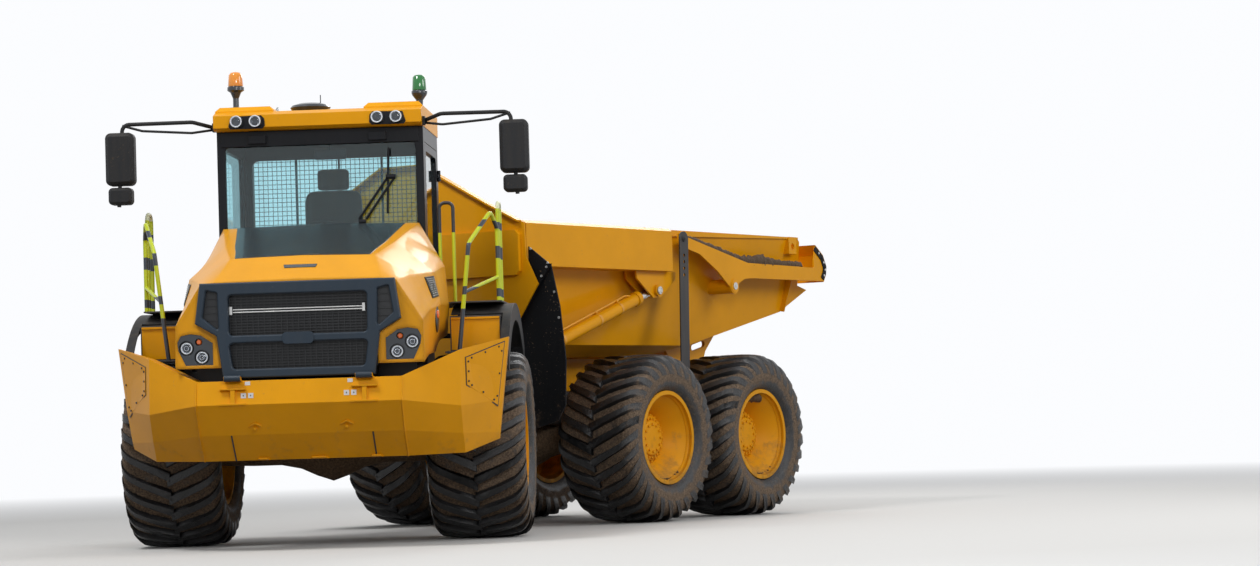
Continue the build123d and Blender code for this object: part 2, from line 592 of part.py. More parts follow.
# Ears on the bumper that hold the hood's hinge pins
ear_side = [(1690, 1290), (1798, 1290), (hood_pin_x + hinge_ear, hood_pin_z - hinge_ear),
            (hood_pin_x + hinge_ear, hood_pin_z + hinge_ear),
            (hood_pin_x - hinge_ear, hood_pin_z + hinge_ear),
            (1800, 1305), (1690, 1300)]
ears = Part()
for y in (-hood_hinge_y, hood_hinge_y):
    for y0 in (y - knuckle_half - eye_gap - hinge_ear, y + knuckle_half + eye_gap):
        ears += side_sheet(ear_side, y0, y0 + hinge_ear)
    ears += bar((hood_pin_x, y - knuckle_half - 15, hood_pin_z),
                (hood_pin_x, y + knuckle_half + 15, hood_pin_z),
                hood_pin_radius)
nodes["bumper"] += ears

lamp_back, lamp_face = 1600, 1732
lamp_y, lamp_z, lamp_fit = 795, 1545, 0.9975
lamp_body = [(lamp_y + (y - lamp_y) * lamp_fit, lamp_z + (z - lamp_z) * lamp_fit) for y, z in lamp_outline]
cluster = cross_sheet(lamp_body, lamp_back, lamp_face)
for y, z, r in ((862, 1556, 58), (745, 1485, 58), (768, 1602, 28)):
    cluster -= bar((lamp_face - 45, y, z), (lamp_face + 5, y, z), r)
    cluster += bar((lamp_face - 45, y, z), (lamp_face - 12, y, z), r - 12)
nodes["headlamps"] = both_sides(cluster)

# Steering joint: two bearing rings, the web with the shaft's passage, the roll tube and the lugs
ring_low = (yoke_low + ear_thickness + pin_gap, yoke_low + steer_pin_length - pin_gap)
ring_high = (frame_top - steer_pin_length + pin_gap, frame_top - ear_thickness - pin_gap)
hitch = span((-290, -140), (-150, 150), (ring_low[0], ring_high[1]))
for z0, z1 in (ring_low, ring_high):
    hitch += Pos(0, 0, (z0 + z1) / 2) * Cylinder(105, z1 - z0)
    hitch += flat_sheet([(0, 105), (-200, 150), (-200, -150), (0, -105)], z0, z1)
    hitch -= Pos(0, 0, (z0 + z1) / 2) * Cylinder(steer_pin_radius + running_fit, z1 - z0 + 2)
hitch += bar((-280, 0, roll_axis_z), (-299.5, 0, roll_axis_z), 190)
hitch += bar((-290, 0, roll_axis_z), (-660, 0, roll_axis_z), roll_tube_radius)
hitch += bar((-640, 0, roll_axis_z), (-665, 0, roll_axis_z), 190)
hitch -= bar((-100, 0, roll_axis_z), (-700, 0, roll_axis_z), 95)
lug_x, lug_y = steer_lug
plate_gap = eye_height / 2 + eye_gap
steer_plate = 20
lugs = []
for z0 in (steer_cylinder_z + plate_gap, steer_cylinder_z - plate_gap - steer_plate):
    lug = flat_sheet([(-150, 100), (lug_x + 50, lug_y - 20), (lug_x - 50, lug_y + 30), (-285, 149)],
                     z0, z0 + steer_plate)
    lug += Pos(lug_x, lug_y, z0 + steer_plate / 2) * Cylinder(60, steer_plate)
    lugs.append(both_sides(lug - hitch))
nodes["hitch"] = rear_unit * group(hitch, *lugs)

# Steering cylinders: the barrels turn on the front frame, the rods end between the hitch's lugs
steer_closed, steer_gland, steer_gland_depth, steer_piston = 807.9, 698, 44, 112
a = radians(-articulation)
for side, sign in (("left", 1), ("right", -1)):
    px, py = anchor_x, sign * anchor_y
    lx = pivot[0] + lug_x * cos(a) - sign * lug_y * sin(a)
    ly = lug_x * sin(a) + sign * lug_y * cos(a)
    reach = hypot(lx - px, ly - py)
    aim = Pos(px, py, steer_cylinder_z) * Rot(0, 0, degrees(atan2(ly - py, lx - px)))
    barrel = bar((90, 0, 0), (steer_gland, 0, 0), steer_barrel_radius) + bar((30, 0, 0), (95, 0, 0),
                                                                             eye_height / 2 - 3)
    barrel += bar((steer_gland - steer_gland_depth, 0, 0), (steer_gland, 0, 0), steer_barrel_radius + 8)
    barrel += Cylinder(50, eye_height)
    barrel -= Cylinder(barrel_pin_radius + running_fit, 100)
    barrel -= bar((108, 0, 0), (steer_gland - steer_gland_depth, 0, 0), steer_barrel_radius - 8 + running_fit)
    barrel -= bar((108, 0, 0), (steer_gland + 5, 0, 0), steer_rod_radius + running_fit)
    offset = reach - steer_closed
    rod = bar((steer_piston + offset, 0, 0), (steer_piston + offset + 28, 0, 0), steer_barrel_radius - 8)
    rod += bar((steer_piston + offset, 0, 0), (reach - 30, 0, 0), steer_rod_radius)
    rod += Pos(reach, 0, 0) * Cylinder(48, eye_height)
    nodes[f"steering_barrel_{side}"] = aim * barrel
    nodes[f"steering_rod_{side}"] = aim * rod

# Rear frame: box rails, the roll bearing, cross members and the brackets for bin, cylinders and straps
rear_rail = [(rear_frame_front, rear_frame_low + 60), (rear_frame_front, rear_frame_top),
             (rear_frame_rear, rear_frame_top), (rear_frame_rear, rear_frame_low + 80),
             (rear_frame_rear + 300, rear_frame_low), (rear_frame_front - 200, rear_frame_low)]
rail = side_sheet(rear_rail, rail_inner, rail_outer)
rail -= side_sheet([(rear_frame_front - 30, rear_frame_low + 90),
                    (rear_frame_front - 30, rear_frame_top - rail_plate),
                    (rear_frame_rear + 30, rear_frame_top - rail_plate),
                    (rear_frame_rear + 30, rear_frame_low + 110),
                    (rear_frame_rear + 310, rear_frame_low + rail_plate),
                    (rear_frame_front - 210, rear_frame_low + rail_plate)],
                   rail_inner, rail_outer - rail_plate)
rear_pieces = [both_sides(rail)]
collar_radius, collar_rear = 215, rear_frame_front + pin_gap
collar = bar((-300, 0, roll_axis_z), (collar_rear, 0, roll_axis_z), collar_radius)
collar += span((collar_rear, -560), (-rail_outer, rail_outer), (roll_axis_z - 190, rear_frame_top))
collar += both_sides(span((rear_frame_front, -560), (rail_inner, rail_outer), (1000, rear_frame_top)))
collar -= bar((-250, 0, roll_axis_z), (-700, 0, roll_axis_z), roll_tube_radius + running_fit)
rear_pieces.append(collar)
for x in (-1150, mid_axle + 480, beam_centre, rear_axle + 480, rear_frame_rear + 80):
    rear_pieces.append(span((x - 50, x + 50), (-web_inner, web_inner),
                            (rear_frame_top - 116, rear_frame_top - rail_plate)))

# Torque tube across the rails, with two ears and a pin for each tipping cylinder
torque_radius, torque_z = 60, rear_frame_top + 62
tip_eye_width, tip_ear, tip_pin_radius = 90, 20, 28
base_x, base_z = tip_base
tip_gap = tip_eye_width / 2 + pin_gap
tip_outer = tip_y + tip_gap + tip_ear
torque_tube = bar((base_x, -tip_outer, torque_z), (base_x, tip_outer, torque_z), torque_radius)
torque_tube += both_sides(span((base_x - 60, base_x + 60), (rail_inner, rail_outer),
                               (rear_frame_top, torque_z)))
rear_pieces.append(torque_tube)
for y0 in (tip_y - tip_gap - tip_ear, tip_y + tip_gap):
    ear = side_sheet([(base_x - 60, torque_z), (base_x + 60, torque_z), (base_x + 45, base_z),
                      (base_x - 45, base_z)],
                     y0, y0 + tip_ear)
    ear += bar((base_x, y0, base_z), (base_x, y0 + tip_ear, base_z), 48)
    ear -= bar((base_x, y0 - 5, base_z), (base_x, y0 + tip_ear + 5, base_z), tip_pin_radius + running_fit)
    rear_pieces.append(both_sides(ear - torque_tube))
rear_pieces.append(both_sides(bar((base_x, tip_outer - 2 * (tip_gap + tip_ear), base_z),
                                  (base_x, tip_outer, base_z),
                                  tip_pin_radius)))

# Walking beam pins, tip hinge pins and the strap outriggers
beam_pin_z, beam_pin_radius = 930, 60
rear_pieces.append(both_sides(bar((beam_centre, rail_outer, beam_pin_z), (beam_centre, 640, beam_pin_z),
                                  beam_pin_radius)))
hinge_pin_radius, hinge_boss, hinge_plate_half = 42, 72, 15
hinge_x, hinge_z = tip_hinge
hinge_inner = hinge_plate_y - hinge_plate_half
bearing = bar((hinge_x, rail_outer, hinge_z), (hinge_x, hinge_inner - pin_gap, hinge_z), hinge_boss)
bearing += bar((hinge_x, rail_outer, hinge_z), (hinge_x, hinge_plate_y + 45, hinge_z), hinge_pin_radius)
bearing += side_sheet([(hinge_x - 150, rear_frame_top - 60), (hinge_x + 150, rear_frame_top - 60),
                       (hinge_x + 60, hinge_z + 40), (hinge_x - 60, hinge_z + 40)], rail_outer,
                       rail_outer + 30)
rear_pieces.append(both_sides(bearing))
strap_y = bin_rail_outer + 7
foot_x, foot_z = strap_foot
outrigger_low, outrigger_top = rear_frame_top - 16, rear_frame_top + 44
outrigger_plate = (strap_y - 32, strap_y - 12)
outrigger = span((foot_x - 50, foot_x + 50), (rail_outer, outrigger_plate[1]), (outrigger_low, outrigger_top))
outrigger += span((foot_x - 90, foot_x + 50), (rail_outer, rail_outer + 40), (1060, outrigger_top))
outrigger += side_sheet([(foot_x - 50, outrigger_low), (foot_x + 50, outrigger_low),
                         (foot_x + 36, foot_z + 30),
                         (foot_x - 36, foot_z + 30)], *outrigger_plate)
strap_pin_radius = 30
outrigger += bar((foot_x, strap_y - 20, foot_z), (foot_x, strap_y + strap_thickness + 14, foot_z),
                 strap_pin_radius)
rear_pieces.append(both_sides(outrigger))

# Recovery eye on the last cross member
recovery_x, recovery_z, recovery_bore = rear_frame_rear - 60, rear_frame_top - 66, 30
eye = Pos(recovery_x, 0, recovery_z) * Cylinder(90, 60)
eye += span((recovery_x, rear_frame_rear + 30), (-90, 90), (recovery_z - 30, recovery_z + 30))
rear_pieces.append(eye - Pos(recovery_x, 0, recovery_z) * Cylinder(recovery_bore, 80))
nodes["rear_frame"] = rear_unit * group(*rear_pieces)

# Mid and rear axles, the walking beams on them, and the shafts between
nodes["rear_axles"] = rear_unit * group(axle_beam(mid_axle), axle_beam(rear_axle))
tube_top = axle_z + axle_tube_radius + axle_sleeve + seat_gap
beam = side_sheet([(mid_axle + 130, tube_top), (mid_axle + 130, 960), (beam_centre + 220, 1050),
                   (beam_centre - 220, 1050),
                   (rear_axle - 130, 960), (rear_axle - 130, tube_top), (rear_axle + 200, tube_top),
                   (beam_centre - 260, 800), (beam_centre + 260, 800), (mid_axle - 200, tube_top)], 500, 600)
beam -= bar((beam_centre, 480, beam_pin_z), (beam_centre, 620, beam_pin_z), beam_pin_radius + running_fit)
nodes["walking_beams"] = rear_unit * both_sides(beam)
drive_z, flange_reach = axle_z + 50, diff_depth + seat_gap
shaft = bar((-45, 0, roll_axis_z), (mid_axle + 420, 0, drive_z), propshaft_radius)
shaft += bar((mid_axle + 425, 0, drive_z), (mid_axle + flange_reach, 0, drive_z), propshaft_radius + 20)
through = bar((mid_axle - flange_reach, 0, drive_z), (rear_axle + flange_reach, 0, drive_z), propshaft_radius)
nodes["rear_shafts"] = rear_unit * group(shaft, through)

# Bin: side walls, chute floor and lip from one outline in cross section and one from the side
chute_slope = (lip_start[1] - floor_z) / (chute_start - lip_start[0])


def bin_core(inset):
    """The space inside the bin's outer skin, drawn in by the plate's thickness."""
    up = 300 if inset else 0
    section = [(0, floor_z + inset), (floor_edge - inset * 0.4, floor_z + inset),
               (chine[0] - inset, chine[1] + inset * 0.7),
               (rail_foot[0] - inset, rail_foot[1]), (wall_top[0] - inset, wall_top[1])]
    section += [(wall_top[0] - inset, wall_top[1] + up),
                (0, wall_top[1] + up)] if inset else [(0, wall_top[1])]
    prism = cross_sheet(section, lip_end[0] - 300 if inset else lip_end[0], bin_front)
    prism += mirror(prism, about=Plane.XZ)
    back = 300 if inset else 0
    profile = [(bin_front - inset, floor_z + inset), (chute_start, floor_z + inset),
               (lip_start[0], lip_start[1] + inset), (lip_end[0] - back, lip_end[1] + inset + back * 0.5)]
    if inset:
        profile += [(lip_end[0] - back, wall_top[1] + 400), (bin_front - inset, wall_top[1] + 400)]
    else:
        profile += [wall_rear_low, (wall_rear_top - 60, wall_top[1] - 45), (wall_rear_top, wall_top[1]),
                    (bin_front, wall_top[1])]
    return prism & side_sheet(profile, -1400, 1400)


# The floor sheet, the front sheet and the two sides are cut from one shell and meet face to face
outer_core, inner_core = bin_core(0), bin_core(wall)
shell = outer_core - inner_core
bottom = [(bin_front, floor_z), (chute_start, floor_z), lip_start, lip_end]
floor_band = side_sheet(bottom + [(x, z + wall) for x, z in reversed(bottom)], -1400, 1400)
front_slab = span((bin_front - wall, bin_front), (-1400, 1400), (floor_z, wall_top[1] + 10))
nodes["bin_floor"] = rear_unit * group(shell & floor_band, (shell & front_slab) - floor_band)

# Side wall with the tail's rib, the strip along its top edge and the bored lifting eye
side = (shell & span((lip_end[0] - 10, bin_front - wall), (0, 1400),
                     (floor_z, wall_top[1] + 10))) - floor_band
fittings = cross_sheet([(1020, 1930), (1120, 2230), (1060, 2250), (960, 1940)], lip_start[0] - 14,
                       lip_start[0])
fittings += side_sheet([(-3240, 2590), (-3240, 2640), (wall_rear_top, wall_top[1]),
                        (wall_rear_top, wall_top[1] - 16)],
                       1150, 1180)
eye_x, eye_z, eye_bore = -5380, 2555, 32
fittings += span((eye_x - 70, eye_x + 70), (1120, 1190), (eye_z - 70, wall_top[1]))
side += fittings - outer_core - inner_core
side -= bar((eye_x, 1000, eye_z), (eye_x, 1300, eye_z), eye_bore)
rail_box = cross_sheet([rail_foot, (bin_rail_outer, rail_foot[1]), (bin_rail_outer, wall_top[1] - 25),
                        (bin_rail_outer - 35, wall_top[1]), wall_top], bin_rail_rear, bin_front - wall)

# Hanging brackets for the tipping rods: the rod's eye lies free between two plates
pin_x, pin_z = tip_pin
tip_plates = tip_eye_width / 2 + eye_gap
hanger_plate, pin_cap_radius, pin_cap = 18, 52, 46
hanger_side = [(-2590, rail_foot[1]), (-2600, 2190), (pin_x + 60, pin_z - 65), (pin_x - 60, pin_z - 65),
               (-3230, 2190),
               (-3240, rail_foot[1])]
inner_hanger = side_sheet(hanger_side, tip_y - tip_plates - hanger_plate, tip_y - tip_plates)
outer_hanger = side_sheet(hanger_side, tip_y + tip_plates, tip_y + tip_plates + hanger_plate)
outer_hanger += bar((pin_x, tip_y + tip_plates, pin_z), (pin_x, tip_y + tip_plates + pin_cap, pin_z),
                    pin_cap_radius)

# Pivot bosses for the tailgate
gate_x, gate_z = gate_pivot
gate_pin_radius, gate_boss = 34, 70
arm_inner = arm_outer - arm_plate
boss = bar((gate_x, rail_foot[0] - 60, gate_z), (gate_x, arm_inner - 14 - pin_gap, gate_z), gate_boss)
boss += bar((gate_x, rail_foot[0], gate_z), (gate_x, arm_outer + 4, gate_z), gate_pin_radius)
side_pieces = [side, rail_box, inner_hanger, outer_hanger, boss - outer_core]
nodes["bin_left_side"] = rear_unit * group(*side_pieces)
nodes["bin_right_side"] = rear_unit * group(*[mirror(piece, about=Plane.XZ) for piece in side_pieces])

# Underframe: beams that lie over the frame's rails, and the hinge plates with their long slots
beam_gap = 10
under = [(-1000, floor_z + 5), (-1000, 1330), (-1250, rear_frame_top + beam_gap),
         (-4180, rear_frame_top + beam_gap),
         (-4560, 1600), (-4700, floor_z + (chute_start + 4700) * chute_slope + 5), (chute_start, floor_z + 5)]
floor_beam = side_sheet(under, rail_inner + 10, rail_outer - 10) - outer_core
plate_rear, plate_front = -4920, -3900
plate_under = [(hinge_x + 75, hinge_z - 70), (hinge_x - 85, hinge_z - 70), (-4640, 1560),
               (plate_rear, floor_z + (chute_start - plate_rear) * chute_slope + 5),
               (plate_front, floor_z + (chute_start - plate_front) * chute_slope + 5), (-4050, 1450)]
hinge_plate = side_sheet(plate_under, hinge_inner, hinge_plate_y + hinge_plate_half)
hinge_plate += bar((hinge_x, hinge_inner, hinge_z), (hinge_x, hinge_plate_y + 25, hinge_z), 80)
hinge_plate -= bar((hinge_x, hinge_inner - 5, hinge_z), (hinge_x, hinge_plate_y + 60, hinge_z),
                   hinge_pin_radius + running_fit)
slot = extrude(SlotOverall(240, 60), amount=40, both=True)
hinge_plate -= Pos(-4510, hinge_plate_y, 1610) * Rot(0, degrees(atan2(chute_slope, 1)), 0) * Rot(90, 0,
                                                                                                 0) * slot
nodes["bin_underframe"] = rear_unit * group(both_sides(floor_beam), both_sides(hinge_plate - outer_core))

# Headboard with its folded edge, the hollow belt across it and the mud flaps behind it
board = [(0, headboard_top[1]), headboard_top, headboard_knee, (1250, 2650), (bin_rail_outer, 2630),
         (bin_rail_outer + 10, 2330), headboard_bulge, (1160, 1734), (1005, 1560), (floor_edge + 60, floor_z),
         (0, floor_z)]
headboard = both_sides(cross_sheet(board, bin_front, bin_front + 16))
headboard += both_sides(cross_sheet([(0, 3196), headboard_top, headboard_knee, (1250, 2650), (1246, 2635),
                                     (926, 2796),
                                     (212, 3180), (0, 3180)], bin_front, bin_front + 70))
belt = cross_sheet([(0, 2180), (1215, 2180), (1250, 2215), (1250, 2530), (1215, 2567), (0, 2567)],
                   bin_front + 16, bin_front + 60)
belt -= cross_sheet([(0, 2196), (1200, 2196), (1234, 2222), (1234, 2524), (1200, 2551), (0, 2551)],
                    bin_front + 16, bin_front + 48)
headboard += both_sides(belt)
nodes["headboard"] = rear_unit * headboard

flap_x, flap_thickness = bin_front - 30, 12
flap = cross_sheet([(1299, 2423), (1530, 2251), (1610, 1900), (1656, 1441), (1640, 1060), (1560, 930),
                    (1300, 860),
                    (870, 850), (860, 1470), (1040, 1722), (1290, 2060)], flap_x, flap_x + flap_thickness)
clamp = cross_sheet([(1546, 2262), (1500, 2262), (870, 1405), (905, 1380)], flap_x + flap_thickness,
                    bin_front)
nodes["mudflaps"] = rear_unit * both_sides(flap + clamp)

# Tailgate: an arm on each side with a ledge, joined by the curved plate that closes the chute
knee_x, knee_z = gate_knee
end_x, end_z = gate_end
top_x, top_z = strap_top
arm_side = [(top_x + 55, top_z + 50), (top_x + 40, top_z - 60), (-3560, 2430), (-3860, 2280),
            (gate_x + 75, gate_z - 10), (gate_x + 40, gate_z - 66), (gate_x - 40, gate_z - 66),
            (gate_x - 90, gate_z + 30), (-4330, 2215),
            (-4440, 2225), (end_x - 20, 2223), (end_x - 20, end_z), (knee_x, knee_z)]
arm = side_sheet(arm_side, arm_inner, arm_outer)
arm += bar((gate_x, arm_inner - 14, gate_z), (gate_x, arm_outer + 4, gate_z), 74)
ledge_t, ledge_front = 14, top_x - 110
ledge_z = knee_z + (ledge_front - knee_x) * (top_z + ledge_t - knee_z) / (top_x - 60 - knee_x)
arm += side_sheet([(ledge_front, ledge_z), (ledge_front, ledge_z - ledge_t), (knee_x, knee_z - ledge_t),
                   (end_x - 20, end_z - ledge_t), (end_x - 20, end_z), (knee_x, knee_z)], ledge_inner,
                   arm_inner + 2)
arm -= bar((gate_x, arm_inner - 40, gate_z), (gate_x, arm_outer + 40, gate_z), gate_pin_radius + running_fit)
skin = [(-5660, 2575), (-5800, 2480), (-5862, 2370), (-5850, 2290), (-5800, 2215)]
panel_back = [(x + 18, z) for x, z in reversed(skin)]
panel = side_sheet(skin + panel_back, 0, arm_outer)
cheek = side_sheet([(end_x, 2223), (end_x, 2420), *skin[:-1], (skin[-1][0], 2223)], arm_inner, arm_outer)
gate = both_sides(arm + panel + cheek)
nodes["tailgate"] = rear_unit * gate

# Straps that hold the gate's arms down as the bin rises
lean = atan2(top_x - foot_x, top_z - foot_z)
strap_length = hypot(top_x - foot_x, top_z - foot_z)
half_strap = strap_width / 2
strap = Pos(foot_x, strap_y + strap_thickness / 2, foot_z) * Rot(0, degrees(lean), 0) * (
    span((-half_strap, half_strap), (-strap_thickness / 2, strap_thickness / 2), (0, strap_length))
    + Rot(90, 0, 0) * Cylinder(half_strap, strap_thickness)
    + Pos(0, 0, strap_length) * Rot(90, 0, 0) * Cylinder(half_strap, strap_thickness)
    - Rot(90, 0, 0) * Cylinder(strap_pin_radius + running_fit, 60)
)
for drop in (150, 210, 270, 330):
    hole = Pos(foot_x, strap_y, foot_z) * Rot(0, degrees(lean), 0) * Pos(0, 0, strap_length - drop)
    strap -= hole * Rot(90, 0, 0) * Cylinder(16, 60)
strap += bar((top_x, arm_outer + eye_gap, top_z), (top_x, strap_y + strap_thickness + 10, top_z), 26)
nodes["tailgate_straps"] = rear_unit * both_sides(strap)

# Tipping cylinders: barrels on the rear frame, rods that end between the bin's hanging brackets
tip_reach = hypot(tip_pin[0] - tip_base[0], tip_pin[1] - tip_base[1])
tip_aim = degrees(atan2(tip_pin[1] - tip_base[1], tip_base[0] - tip_pin[0]))
tip_gland = tip_reach - 234
tip_frame = Pos(tip_base[0], tip_y, tip_base[1]) * Rot(0, 180 + tip_aim, 0)
eye = Rot(90, 0, 0) * Cylinder(52, tip_eye_width)
barrel = bar((40, 0, 0), (85, 0, 0), 40) + bar((80, 0, 0), (tip_gland, 0, 0), tip_barrel_radius)
barrel += bar((tip_gland - 55, 0, 0), (tip_gland, 0, 0), tip_barrel_radius + 10)
barrel += eye
barrel -= Rot(90, 0, 0) * Cylinder(tip_pin_radius + running_fit, 100)
barrel -= bar((96, 0, 0), (tip_gland - 55, 0, 0), tip_barrel_radius - 8 + running_fit)
barrel -= bar((96, 0, 0), (tip_gland + 5, 0, 0), tip_rod_radius + running_fit)
rod = bar((98, 0, 0), (126, 0, 0), tip_barrel_radius - 8) + bar((98, 0, 0), (tip_reach - 30, 0, 0),
                                                                tip_rod_radius)
rod += Pos(tip_reach, 0, 0) * eye
for name, shape in (("tip_barrels", barrel), ("tip_rods", rod)):
    nodes[name] = rear_unit * both_sides(tip_frame * shape)

# The origin is the ground under the middle of the whole machine as it stands
whole = Compound([solid for piece in nodes.values() for solid in piece.solids()])
bounds = whole.bounding_box()
home = Pos(-bounds.center().X, -bounds.center().Y, -bounds.min.Z)
os.makedirs("parts", exist_ok=True)
for name, piece in nodes.items():
    export_step(home * piece, f"parts/{name}.step")
print("origin shift", home.position)
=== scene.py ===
import json
from math import cos, pi, radians, sin
import bmesh
import bpy
from mathutils import Matrix, Vector, noise


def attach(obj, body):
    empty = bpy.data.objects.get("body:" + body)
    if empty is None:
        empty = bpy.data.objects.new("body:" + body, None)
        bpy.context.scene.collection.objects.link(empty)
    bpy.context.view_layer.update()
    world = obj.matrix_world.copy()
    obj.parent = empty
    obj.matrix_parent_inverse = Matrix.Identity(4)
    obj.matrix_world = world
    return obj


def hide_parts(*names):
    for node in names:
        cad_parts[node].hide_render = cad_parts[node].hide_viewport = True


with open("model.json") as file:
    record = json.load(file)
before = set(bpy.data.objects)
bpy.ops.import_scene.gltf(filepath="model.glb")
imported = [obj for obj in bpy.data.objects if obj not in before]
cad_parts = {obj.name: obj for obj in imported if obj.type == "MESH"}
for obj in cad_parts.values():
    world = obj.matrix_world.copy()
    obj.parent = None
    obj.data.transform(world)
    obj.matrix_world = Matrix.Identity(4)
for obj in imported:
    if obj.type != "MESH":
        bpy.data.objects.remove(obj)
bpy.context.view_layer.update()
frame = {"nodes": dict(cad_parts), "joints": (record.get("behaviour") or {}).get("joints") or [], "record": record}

# The studio: a pale floor under the machine and a white room round it. The camera stands low in
# front of the truck, a little to its left, with a long lens. The front unit's measures start on
# the ground under the front axle, and the rear unit's on the ground under the steering pivot.
front_axle_to_pivot, stored_steer = 1.332, radians(31.5)
pivot = Vector(next(j["pos_m"] for j in frame["joints"] if j["name"] == "steering"))
in_front = Matrix.Translation((pivot.x + front_axle_to_pivot, pivot.y, 0))
in_rear = Matrix.Translation((pivot.x, pivot.y, 0)) @ Matrix.Rotation(-stored_steer, 4, "Z")

camera_spot = (25.916, 3.544, 0.878)
yaw, pitch, roll = radians(2.4122), radians(2.5226), radians(-1.7733)
long_lens = bpy.data.cameras.new("site_camera")
long_lens.sensor_width, long_lens.lens, long_lens.clip_end = 36, 91.56, 200
site_camera = bpy.data.objects.new("site_camera", long_lens)
bpy.context.scene.collection.objects.link(site_camera)
ahead = Vector((-cos(yaw) * cos(pitch), -sin(yaw) * cos(pitch), sin(pitch)))
aim = ahead.to_track_quat("-Z", "Y").to_matrix().to_4x4() @ Matrix.Rotation(roll, 4, "Z")
site_camera.matrix_world = in_front @ Matrix.Translation(camera_spot) @ aim
bpy.context.scene.camera = site_camera
bpy.context.scene.view_settings.view_transform = "Standard"


def wire(tree, *pairs):
    """Links each output to its input."""
    for a, b in pairs:
        tree.links.new(a, b)


def make_node(tree, kind, **values):
    """A node with its named inputs or settings filled in."""
    node = tree.nodes.new("ShaderNode" + kind)
    for key, value in values.items():
        socket = key.replace("_", " ")
        if socket in node.inputs:
            node.inputs[socket].default_value = value
        else:
            setattr(node, key, value)
    return node


def math_node(tree, kind, *terms, clamp=False):
    """One operation on up to three terms, each a number or another node's output."""
    node = make_node(tree, "Math", operation=kind, use_clamp=clamp)
    for socket, value in zip(node.inputs, terms):
        if isinstance(value, (int, float)):
            socket.default_value = value
        else:
            tree.links.new(value, socket)
    return node.outputs[0]


def mix_colour(tree, amount, a, b):
    """Colour a where the amount is 0 and colour b where it is 1."""
    node = make_node(tree, "Mix", data_type="RGBA")
    for socket, value in zip((node.inputs[0], node.inputs[6], node.inputs[7]), (amount, a, b)):
        if isinstance(value, (tuple, float, int)):
            socket.default_value = value
        else:
            tree.links.new(value, socket)
    return node.outputs[2]


def background_rays(tree):
    """1 for a ray that sees the background: from the camera, in gloss or through glass."""
    rays = make_node(tree, "LightPath").outputs
    indirect = math_node(tree, "MAXIMUM", rays["Is Glossy Ray"], rays["Is Transmission Ray"])
    return math_node(tree, "MAXIMUM", rays["Is Camera Ray"], indirect)


white = (0.97, 0.98, 1, 1)
room = bpy.data.worlds.new("white_room")
room.use_nodes = True
bpy.context.scene.world = room
tree = room.node_tree
sky, choose = tree.nodes["Background"], make_node(tree, "MixShader")
sky.inputs["Color"].default_value = (0.93, 0.96, 1, 1)
sky.inputs["Strength"].default_value = 0.34
wire(tree, (background_rays(tree), choose.inputs[0]), (sky.outputs[0], choose.inputs[1]),
     (make_node(tree, "Background", Color=white, Strength=1).outputs[0], choose.inputs[2]),
     (choose.outputs[0], tree.nodes["World Output"].inputs[0]))

for name, place, target, size, power in (
    ("high_sun_panel", (8, -6, 13), (0.5, 0, 1.2), 4, 1000),
    ("left_sky_panel", (4, 12, 8), (-1, 1.5, 1), 7, 620),
    ("front_panel", (16, 4, 7), (0, 0.5, 1.4), 4, 520),
    ("tail_panel", (-9, 3, 9), (-1, 1, 1.5), 5, 500),
):
    lamp = bpy.data.lights.new(name, "AREA")
    lamp.shape, lamp.size, lamp.energy = "DISK", size, power
    holder = bpy.data.objects.new(name, lamp)
    towards = (Vector(target) - Vector(place)).to_track_quat("-Z", "Y").to_matrix().to_4x4()
    holder.matrix_world = Matrix.Translation(place) @ towards
    bpy.context.scene.collection.objects.link(holder)

floor_half, fade_start, fade_end = 70, 9, 24
ground = bmesh.new()
bmesh.ops.create_grid(ground, x_segments=1, y_segments=1, size=floor_half)
floor_mesh = bpy.data.meshes.new("studio_floor")
ground.to_mesh(floor_mesh)
ground.free()
studio_floor = bpy.data.objects.new("studio_floor", floor_mesh)
bpy.context.scene.collection.objects.link(studio_floor)
floor_paint = bpy.data.materials.new("pale_floor")
floor_paint.use_nodes = True
tree = floor_paint.node_tree
surface, blend = tree.nodes["Principled BSDF"], make_node(tree, "MixShader")
surface.inputs["Roughness"].default_value = 0.85
far = make_node(tree, "VectorMath", operation="LENGTH")
fade = make_node(tree, "MapRange", From_Min=fade_start, From_Max=fade_end)
bounced = make_node(tree, "LightPath").outputs["Is Diffuse Ray"]
pale, dim_bounce = (0.66, 0.65, 0.63, 1), (0.2, 0.18, 0.16, 1)
wire(tree, (make_node(tree, "TexCoord").outputs["Object"], far.inputs[0]),
     (far.outputs["Value"], fade.inputs["Value"]),
     (mix_colour(tree, bounced, pale, dim_bounce), surface.inputs["Base Color"]),
     (math_node(tree, "MULTIPLY", fade.outputs[0], background_rays(tree)), blend.inputs[0]),
     (surface.outputs[0], blend.inputs[1]),
     (make_node(tree, "Emission", Color=white).outputs[0], blend.inputs[2]),
     (blend.outputs[0], tree.nodes["Material Output"].inputs[0]))
floor_mesh.materials.append(floor_paint)

# Tyres: wide low-pressure site tyres of black rubber, moulded with long curved lugs that meet in
# a V on the centre line. Dry brown mud packs the gaps between the lugs and films the sidewalls.
mud_brown, dry_soil = (0.115, 0.073, 0.042, 1), (0.24, 0.165, 0.1, 1)
dust_tan = (0.36, 0.27, 0.17, 1)


def noise_at(tree, vector, scale, detail=4, rough=0.6):
    node = make_node(tree, "TexNoise", Scale=scale, Detail=detail, Roughness=rough)
    tree.links.new(vector, node.inputs["Vector"])
    return node.outputs["Fac"]


def step_at(tree, value, low, high):
    """A soft step from 0 at low to 1 at high."""
    node = make_node(tree, "MapRange", interpolation_type="SMOOTHSTEP", From_Min=low, From_Max=high)
    tree.links.new(value, node.inputs["Value"])
    return node.outputs[0]


